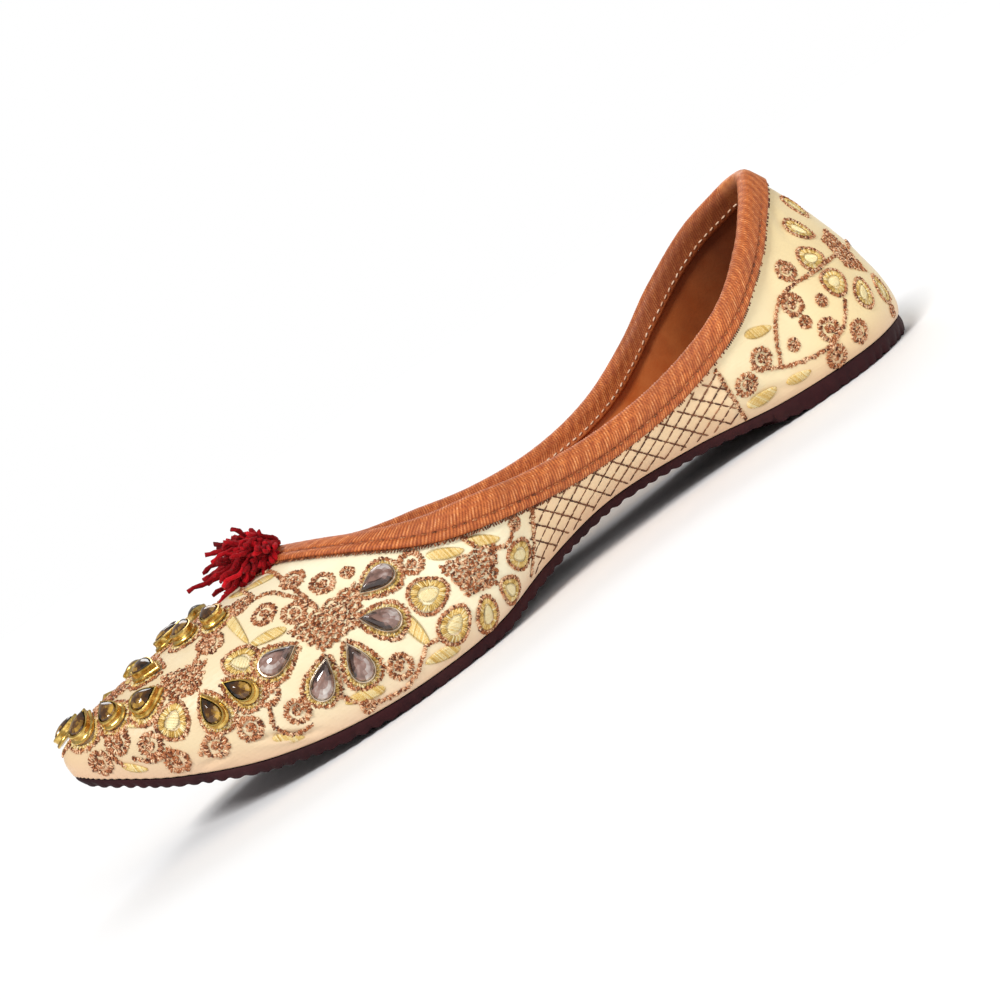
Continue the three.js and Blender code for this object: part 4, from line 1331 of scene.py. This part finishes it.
def embroider_side(side):
    def spot(pair):
        return seen_from_side(side, *pair)

    for middle, towards, width, height in SIDE_BASKETS:
        basket(Motif(spot(middle), spot(towards)), width, height)
    for pair in SIDE_ROSETTES:
        if clear_of_stones(spot(pair), 4.0):
            rosette(spot(pair), ROSETTE)
    for pair in SMALL_ROSETTES:
        if clear_of_stones(spot(pair), 4.2):
            rosette(spot(pair), SMALL_ROSETTE)
    for middle, towards, length, width in SIDE_PETALS:
        if clear_of_stones(spot(middle), 5.0):
            petal(Motif(spot(middle), spot(towards)), length, width)
    for start, end, width in SIDE_LEAVES:
        leaf(spot(start), spot(end), width)
    for points in SIDE_STEMS:
        stem([spot(pair) for pair in points])


def embroider_top():
    for middle, towards, width, height in TOP_BASKETS:
        basket(Motif(seen_from_above(*middle), seen_from_above(*towards)), width, height)
    for pair in TOP_ROSETTES:
        rosette(seen_from_above(*pair), TOP_ROSETTE)
    for start, end, width in TOP_LEAVES:
        leaf(seen_from_above(*start), seen_from_above(*end), width)
    for points in TOP_STEMS:
        stem([seen_from_above(*pair) for pair in points])


def outline_stones():
    """A copper and a gold line of stitches round each stone, open at its point."""
    for _, seat, towards, (length, width, _) in STONES:
        motif = Motif(seat, towards)
        around = drop_outline(length + 2.6, width + 3.4, 0.5)
        crinkled_line(outlines, motif.line(around), 1.1, 5.0, (0.5, 1.5), 1.1)
        close = drop_outline(length + 0.9, width + 1.2, 0.9)
        crinkled_line(gold_fill, motif.line(close), 0.9, 4.0, (1.0, 1.57), 1.1)


def embroider_heel():
    """A calyx either side of the back, each with a stem and a leaf, and rosettes up the centre line."""
    rosette(wall_point(0.0, 0.47), ROSETTE)
    for climb in (0.34, 0.78):
        rosette(wall_point(0.0, climb), SMALL_ROSETTE)
    for side in (1, -1):
        basket(Motif(seen_from_side(side, 13.2, 28.6), seen_from_side(side, 4, 26)), 16, 7.5)
        stem([seen_from_side(side, 8.6, 27.6), seen_from_side(side, 5, 29),
              wall_point(0.035 * side % 2, 0.5)])
        leaf(wall_point(0.045 * side % 2, 0.6), wall_point(0.02 * side % 2, 0.68), 3.2)


embroider_side(1)
embroider_side(-1)
embroider_top()
embroider_heel()
outline_stones()

# Lattice on each side of the waist, between two sewn lines: (along at the binding, along at the sole).
LATTICE_TOE_END = (128.6, 136)
LATTICE_HEEL_END = (67.8, 65)
LATTICE_BAND = (7.0, 23.0)
LATTICE_RIM = ([64, 78, 100, 120, 136], [25.2, 21.0, 19.8, 20.9, 23.7])  # along, and height of its top
LATTICE_MIDDLE = (98.0, 15)                  # a line of each slope runs through here
LATTICE_LINES = [(0.58, 3.3), (-0.88, 4.9)]  # climb for each unit towards the heel, and vertical pitch
LATTICE_EACH_WAY = 24                        # more lines than the waist has room for, each way
LATTICE_STEP = 0.8


def lattice(side):
    low, high = LATTICE_BAND
    for climb, pitch in LATTICE_LINES:
        for i in range(-LATTICE_EACH_WAY, LATTICE_EACH_WAY + 1):
            line = []
            for along in np.arange(LATTICE_TOE_END[1], LATTICE_HEEL_END[1] - LATTICE_STEP / 2,
                                   -LATTICE_STEP):
                height = LATTICE_MIDDLE[1] + i * pitch + climb * (LATTICE_MIDDLE[0] - along)
                part = (height - low) / (high - low)
                toe_end = LATTICE_TOE_END[1] + (LATTICE_TOE_END[0] - LATTICE_TOE_END[1]) * part
                heel_end = LATTICE_HEEL_END[1] + (LATTICE_HEEL_END[0] - LATTICE_HEEL_END[1]) * part
                foot = float(sole_top(float(turn_at(along, 0, LENGTH)))) + 1.0
                rim = float(np.interp(along, *LATTICE_RIM))
                if heel_end < along < toe_end and foot < height < rim:
                    line.append(seen_from_side(side, along, height))
            if len(line) > 2:
                sew_plain(lattice_thread, line, 2.2, 0.44, 0.28)


def sew_plain(thread, line, stitch, width, height):
    """A run of plain stitches, end to end, each turned a little at random."""
    for point, ahead in zip(*walked(line, stitch)):
        foot, normal = on_wall(point)
        along = turned_about(ahead, normal, dice.uniform(-0.06, 0.06))
        thread.stitch(foot + normal * 0.02, along, normal,
                      stitch * 1.12, width, height, drawn_tone(0.45, 0.2))


lattice(1)
lattice(-1)

# ---- sewing on the binding, the lining and the insole --------------------------------------------
overcast_thread = Thread("overcast_stitches")
binding_thread = Thread("binding_stitches")
insole_thread = Thread("insole_stitches")


def strip_line(below, depth, step):
    """Places and directions at a distance below the rim and a depth in the wall, right round."""
    count = round(topline_length / step)
    turns = even_rim_turns(count)[0][:count]
    climb = climb_below_rim(turns, below)
    places = wall_depth(turns, climb, depth)
    normals = wall_normal(turns, climb)
    onward = unit(np.roll(places, -1, 0) - np.roll(places, 1, 0))
    return turns, places, normals, onward


def sew_binding():
    shell = BINDING_GAP + BINDING
    # The line in the outside groove.
    for _, at, out, ahead in zip(*strip_line(GROOVE_BELOW_RIM, -shell + 0.3, 2.3)):
        overcast_thread.stitch(at, ahead, out, 1.5, 0.42, 0.3, dice.uniform(0.1, 0.5))
    # The light row on the inside.
    for _, at, out, ahead in zip(*strip_line(3.7, WALL + shell - 0.02, 2.5)):
        lean = dice.uniform(-0.25, 0.1)
        binding_thread.stitch(at, turned_about(ahead, out, lean), -out, 1.7, 0.6, 0.5,
                              dice.uniform(0.6, 1.0))
    # Overcast stitches that hold the lower edge down on the silk, heavier over the vamp.
    for turn, at, out, ahead in zip(*strip_line(BINDING_OUTSIDE + 0.35, -0.55, 0.62)):
        vamp = 0.5 < turn < 1.5
        lean = dice.choice((0.7, 1.2, 1.75)) if vamp else dice.uniform(1.1, 1.5)
        if not vamp and dice.random() < 0.45:
            continue
        overcast_thread.stitch(at, turned_about(ahead, out, lean), out, 1.5 if vamp else 0.9,
                               0.36, 0.34, drawn_tone(0.12, 0.16))


def sew_heel_inside():
    """Two short upright rows inside the heel."""
    near = np.linspace(-0.06, 0.06, 61)
    for offset in (-3.5, 3.5):
        for height in np.arange(0.94, 0.45, -0.045):
            across = wall_depth(near % 2, height, WALL)[:, 0] + X_MIDDLE
            turn = float(np.interp(offset, across, near))
            at = wall_depth(turn % 2, height, WALL + 0.02)
            ahead = wall_depth(turn % 2, height + 0.01, WALL + 0.02) - at
            binding_thread.stitch(at, unit(ahead), -wall_normal(turn % 2, height), 1.5, 0.45, 0.34,
                                  dice.uniform(0.3, 0.8))


def sew_insole():
    turns = np.linspace(0, 2, 3001)
    line = feather_point(turns) - scaled(feather_outward(turns), BORDER_START + BORDER_WIDTH - 1.3)
    line[:, 2] = insole_top(Y_MIDDLE - line[:, 1]) + BORDER_THICK
    for point, ahead in zip(*walked(line, 2.7)):
        insole_thread.stitch(point, ahead, np.array([0.0, 0.0, 1.0]), 1.5, 0.5, 0.3, dice.uniform(0.2, 0.8))


sew_binding()
sew_heel_inside()
sew_insole()

for copper in (rosettes, baskets, outlines, vines):
    copper.sewn(COPPER_THREAD, "upper_silk")
gold_fill.sewn(GOLD_THREAD, "upper_silk")
lattice_thread.sewn(DARK_THREAD, "upper_silk")
overcast_thread.sewn(COPPER_THREAD, "binding_leather")
binding_thread.sewn(LIGHT_THREAD, "binding_leather")
insole_thread.sewn(LIGHT_THREAD, "insole_leather")

# ---- set stones ----------------------------------------------------------------------------------
# Rings of a setting and of its glass: share of the stone's outline, and share of its height.
SETTING_RINGS = [(1.0, 0.0), (1.02, 0.1), (0.98, 0.2), (0.88, 0.26), (0.87, 0.44), (0.9, 0.56),
                 (0.87, 0.66), (0.78, 0.68), (0.72, 0.6), (0.71, 0.24)]
LOW_SETTING_RINGS = [(1.0, 0.0), (1.0, 0.16), (0.97, 0.25), (0.93, 0.26), (0.91, 0.2), (0.9, 0.08)]
GLASS_RINGS = [(0.7, 0.26), (0.72, 0.6), (0.66, 0.76), (0.46, 0.9), (0.2, 0.98)]
LOW_GLASS_RINGS = [(0.88, 0.1), (0.91, 0.3), (0.84, 0.56), (0.66, 0.78), (0.42, 0.93), (0.14, 0.99)]
SETTING_SIDES = 36
GLASS_SIDES = 18
DROP_TAPER = 1.1         # how soon the outline narrows towards the point
DROP_BROADEST = 1.66     # the outline's breadth before it is brought to the stone's width


def drawn_drop(sides, rings, size):
    """A disc with a drop's outline, drawn up ring by ring and closed on top."""
    length, width, height = size
    deselect()
    bpy.ops.mesh.primitive_circle_add(vertices=sides, radius=1, fill_type="NGON")
    piece = bpy.context.active_object
    share, level = rings[0]
    for vertex in piece.data.vertices:
        angle = math.atan2(vertex.co.y, vertex.co.x) % (2 * math.pi)
        taper = abs(math.sin(angle / 2)) ** DROP_TAPER
        vertex.co = (math.cos(angle) * length / 2 * share,
                     math.sin(angle) * taper * width / DROP_BROADEST * share, level * height)
    edit_all(piece)
    for (share, level), (next_share, next_level) in zip(rings, rings[1:]):
        grow = next_share / share
        rise = (0, 0, (next_level - level) * height)
        bpy.ops.mesh.extrude_region_move(TRANSFORM_OT_translate={"value": rise})
        bpy.ops.transform.resize(value=(grow, grow, 1), center_override=(0, 0, 0))
    face_outward()
    return piece


def facet_painted_light(piece, size):
    """Painted reflection: the share of light each facet is painted to send back, more towards the round end
    and on one flank, with a painted glint.
    """
    length, width, _ = size
    tones = []
    for polygon in piece.data.polygons:
        ahead = polygon.center.x / length * 2
        across = polygon.center.y / width * 2
        flat = max(0.0, polygon.normal.z)
        painted_glint = 0.12 * math.sin(9 * across + 5 * ahead)
        tones.append(0.14 + 0.3 * flat ** 2 - 0.4 * ahead - 0.3 * across + painted_glint)
    attribute = piece.data.attributes.new("facet", "FLOAT", "FACE")
    attribute.data.foreach_set("value", np.clip(tones, 0, 1).astype(np.float32))


def seated(pattern, name, seat, towards):
    """A copy of a pattern, with its own mesh, laid on the wall with its point turned to a place."""
    motif = Motif(seat, towards)
    foot = (motif.middle + motif.normal * 1.5 * GAP) * MM
    axes = Matrix((motif.ahead, motif.sideways, motif.normal)).transposed().to_4x4()
    piece = pattern.copy()
    piece.data = pattern.data.copy()
    piece.name = name
    bpy.context.scene.collection.objects.link(piece)
    piece.data.transform(Matrix.Translation(foot) @ axes @ Matrix.Scale(MM, 4))
    return piece


def set_stones():
    """Every stone and its setting, as copies of one pattern of each kind."""
    kinds = {
        VAMP_STONE: (SETTING_RINGS, GLASS_RINGS, BRASS, AMBER_GLASS, "amber_stone"),
        HANGING_STONE: (SETTING_RINGS, GLASS_RINGS, BRASS, AMBER_GLASS, "amber_stone"),
        SIDE_STONE: (LOW_SETTING_RINGS, LOW_GLASS_RINGS, SILVERED, SMOKY_GLASS, "smoky_stone"),
    }
    patterns = {}
    for size, (setting_rings, glass_rings, _, _, _) in kinds.items():
        setting = drawn_drop(SETTING_SIDES, setting_rings, size)
        smooth_by_angle(setting, 40)
        glass = drawn_drop(GLASS_SIDES, glass_rings, size)
        facet_painted_light(glass, size)
        smooth_by_angle(glass, 24)
        patterns[size] = (setting, glass)
    for node, seat, towards, size in STONES:
        _, _, metal, glass_look, slot_name = kinds[size]
        setting, glass = patterns[size]
        finished(seated(setting, f"{node}_setting", seat, towards), metal, None)
        finished(seated(glass, f"{node}_glass", seat, towards), glass_look, slot_name, node)
    for pair in patterns.values():
        for pattern in pair:
            bpy.data.objects.remove(pattern)


set_stones()

# ---- tuft of yarn --------------------------------------------------------------------------------
KNOT = (6.2, 180.6, 48.4)
STRANDS = 340
LOOSE_ENDS = 22
STRAND_RADIUS = 0.58
STRAND_WAVE = 0.55       # how far a strand sways to each side of its own line
STRAND_CURL = 0.75       # and how fast, in radians for each millimetre
STRAND_STRAY = 1.3       # how far its end strays from where it points
STRAND_RINGS = 13
STRAND_SIDES = 8


def strand_pattern():
    """A closed straight strand along Z, from 0 to 1, as a ring drawn up in steps."""
    deselect()
    bpy.ops.mesh.primitive_circle_add(vertices=STRAND_SIDES, radius=1, fill_type="NGON")
    piece = bpy.context.active_object
    edit_all(piece)
    rise = (0, 0, 1 / (STRAND_RINGS - 1))
    for _ in range(STRAND_RINGS - 1):
        bpy.ops.mesh.extrude_region_move(TRANSFORM_OT_translate={"value": rise})
    bpy.ops.mesh.select_all(action="SELECT")
    bpy.ops.mesh.normals_make_consistent(inside=False)
    bpy.ops.mesh.quads_convert_to_tris()
    bpy.ops.object.mode_set(mode="OBJECT")
    places = vertex_places(piece.data)
    faces = np.array([list(polygon.vertices) for polygon in piece.data.polygons])
    bpy.data.objects.remove(piece)
    return places, faces


def bent_strand(places, start, direction, length, droop):
    """The pattern bent along a falling curve, with the lobes of a plied yarn turning round it."""
    part = np.clip(places[:, 2], 0, 1)
    middle = start + direction * length * 0.55
    stray = np.array([dice.uniform(-1, 1) for _ in range(3)]) * STRAND_STRAY
    end = start + direction * length + np.array([0, 0, -1.0]) * droop + stray
    rest = 1 - part
    spine = np.outer(rest ** 2, start) + np.outer(2 * rest * part, middle) + np.outer(part ** 2, end)
    along = unit(np.outer(2 * rest, middle - start) + np.outer(2 * part, end - middle))
    side = unit(np.cross(along, [0.13, 0.2, 0.97]))
    other = np.cross(along, side)
    wave = STRAND_WAVE * np.sin(part * length * STRAND_CURL + dice.uniform(0, 6)) * np.minimum(1, part * 2)
    turning = dice.uniform(0, 6)
    spine = spine + scaled(side, wave * math.cos(turning)) + scaled(other, wave * math.sin(turning))
    angle = np.arctan2(places[:, 1], places[:, 0])
    lobes = 1 + 0.22 * np.cos(2 * angle + part * length * 2.1 + dice.uniform(0, 6))
    tip = np.where(part > 0.999, 0.8, 1) * (0.8 + 0.3 * part)
    reach_out = STRAND_RADIUS * lobes * tip * np.hypot(places[:, 0], places[:, 1])
    return spine + scaled(side, reach_out * np.cos(angle)) + scaled(other, reach_out * np.sin(angle))


def yarn_tuft():
    places, faces = strand_pattern()
    knot = place(*KNOT)
    all_places, all_faces, tones = [], [], []
    for i in range(STRANDS):
        loose = i < LOOSE_ENDS
        swing = dice.uniform(-1.2, 1.2) * (0.6 if loose else 1)
        lift = dice.uniform(-0.42, 0.5 if loose else 0.85) * (1 - 0.25 * abs(swing))
        direction = np.array([math.sin(swing) * math.cos(lift), -math.cos(swing) * math.cos(lift),
                              math.sin(lift)])
        length = dice.uniform(17, 20.5) if loose else dice.uniform(9.5, 14.5)
        length *= (1.05 - 0.12 * max(0, lift)) * (1 - 0.25 * abs(swing) / 1.2)
        spread_at_knot = [dice.uniform(-2.6, 2.6), dice.uniform(-1.6, 1.6), dice.uniform(-1.0, 0.8)]
        start = knot + np.array(spread_at_knot)
        strand = bent_strand(places, start, unit(direction), length, dice.uniform(0.2, 1.8))
        all_places.append(strand)
        all_faces.append(faces + i * len(places))
        tones.append(np.full(len(places), drawn_tone(0.45, 0.2)))
    piece = piece_from("yarn_tuft", np.concatenate(all_places), np.concatenate(all_faces),
                       np.concatenate(tones))
    return finished(piece, RED_YARN, "pompom_yarn", "pompom")


yarn_tuft()


# ---- floor and light -----------------------------------------------------------------------------
FLOOR_RADIUS = 30.0
AIR_STRENGTH = 0.42
# Each light's name, the direction it comes from, its power and its breadth in degrees.
LIGHTS = [
    ("key_light", (0.62, -0.62, 0.85), 2.3, 18),
    ("fill_light", (0.85, 0.6, 0.4), 0.45, 40),
    ("back_light", (-0.8, 0.3, 0.7), 0.7, 30),
]


def studio_floor():
    """A wide pale floor."""
    deselect()
    bpy.ops.mesh.primitive_circle_add(vertices=64, radius=FLOOR_RADIUS, fill_type="NGON")
    floor = bpy.context.active_object
    floor.name = "studio_floor"
    floor.data.materials.append(floor_material())


def soft_light(name, towards_light, power, softness):
    """Even light from a wide disc in one direction."""
    deselect()
    bpy.ops.object.light_add(type="SUN", location=Vector(towards_light))
    light = bpy.context.active_object
    light.name = name
    light.data.angle = math.radians(softness)
    light.data.energy = power
    light.rotation_euler = Vector(towards_light).to_track_quat("Z", "Y").to_euler()


def studio_light():
    """Pale air all round, which looks whiter than the light that it gives, and the soft lights."""
    world = bpy.data.worlds.new("studio_air")
    bpy.context.scene.world = world
    world.use_nodes = True
    tree = world.node_tree
    seen = put(tree, "ShaderNodeBackground", {"Color": (1.0, 1.0, 1.0, 1.0), "Strength": 1.0})
    giving = put(tree, "ShaderNodeBackground", {"Color": (1.0, 0.995, 0.99, 1.0), "Strength": AIR_STRENGTH})
    path = put(tree, "ShaderNodeLightPath")
    choice = put(tree, "ShaderNodeMixShader", {0: path.outputs["Is Camera Ray"]})
    tree.links.new(giving.outputs[0], choice.inputs[1])
    tree.links.new(seen.outputs[0], choice.inputs[2])
    output = next(node for node in tree.nodes if node.type == "OUTPUT_WORLD")
    tree.links.new(choice.outputs[0], output.inputs["Surface"])
    for light in LIGHTS:
        soft_light(*light)


studio_floor()
studio_light()
bpy.context.scene.view_settings.view_transform = "Standard"
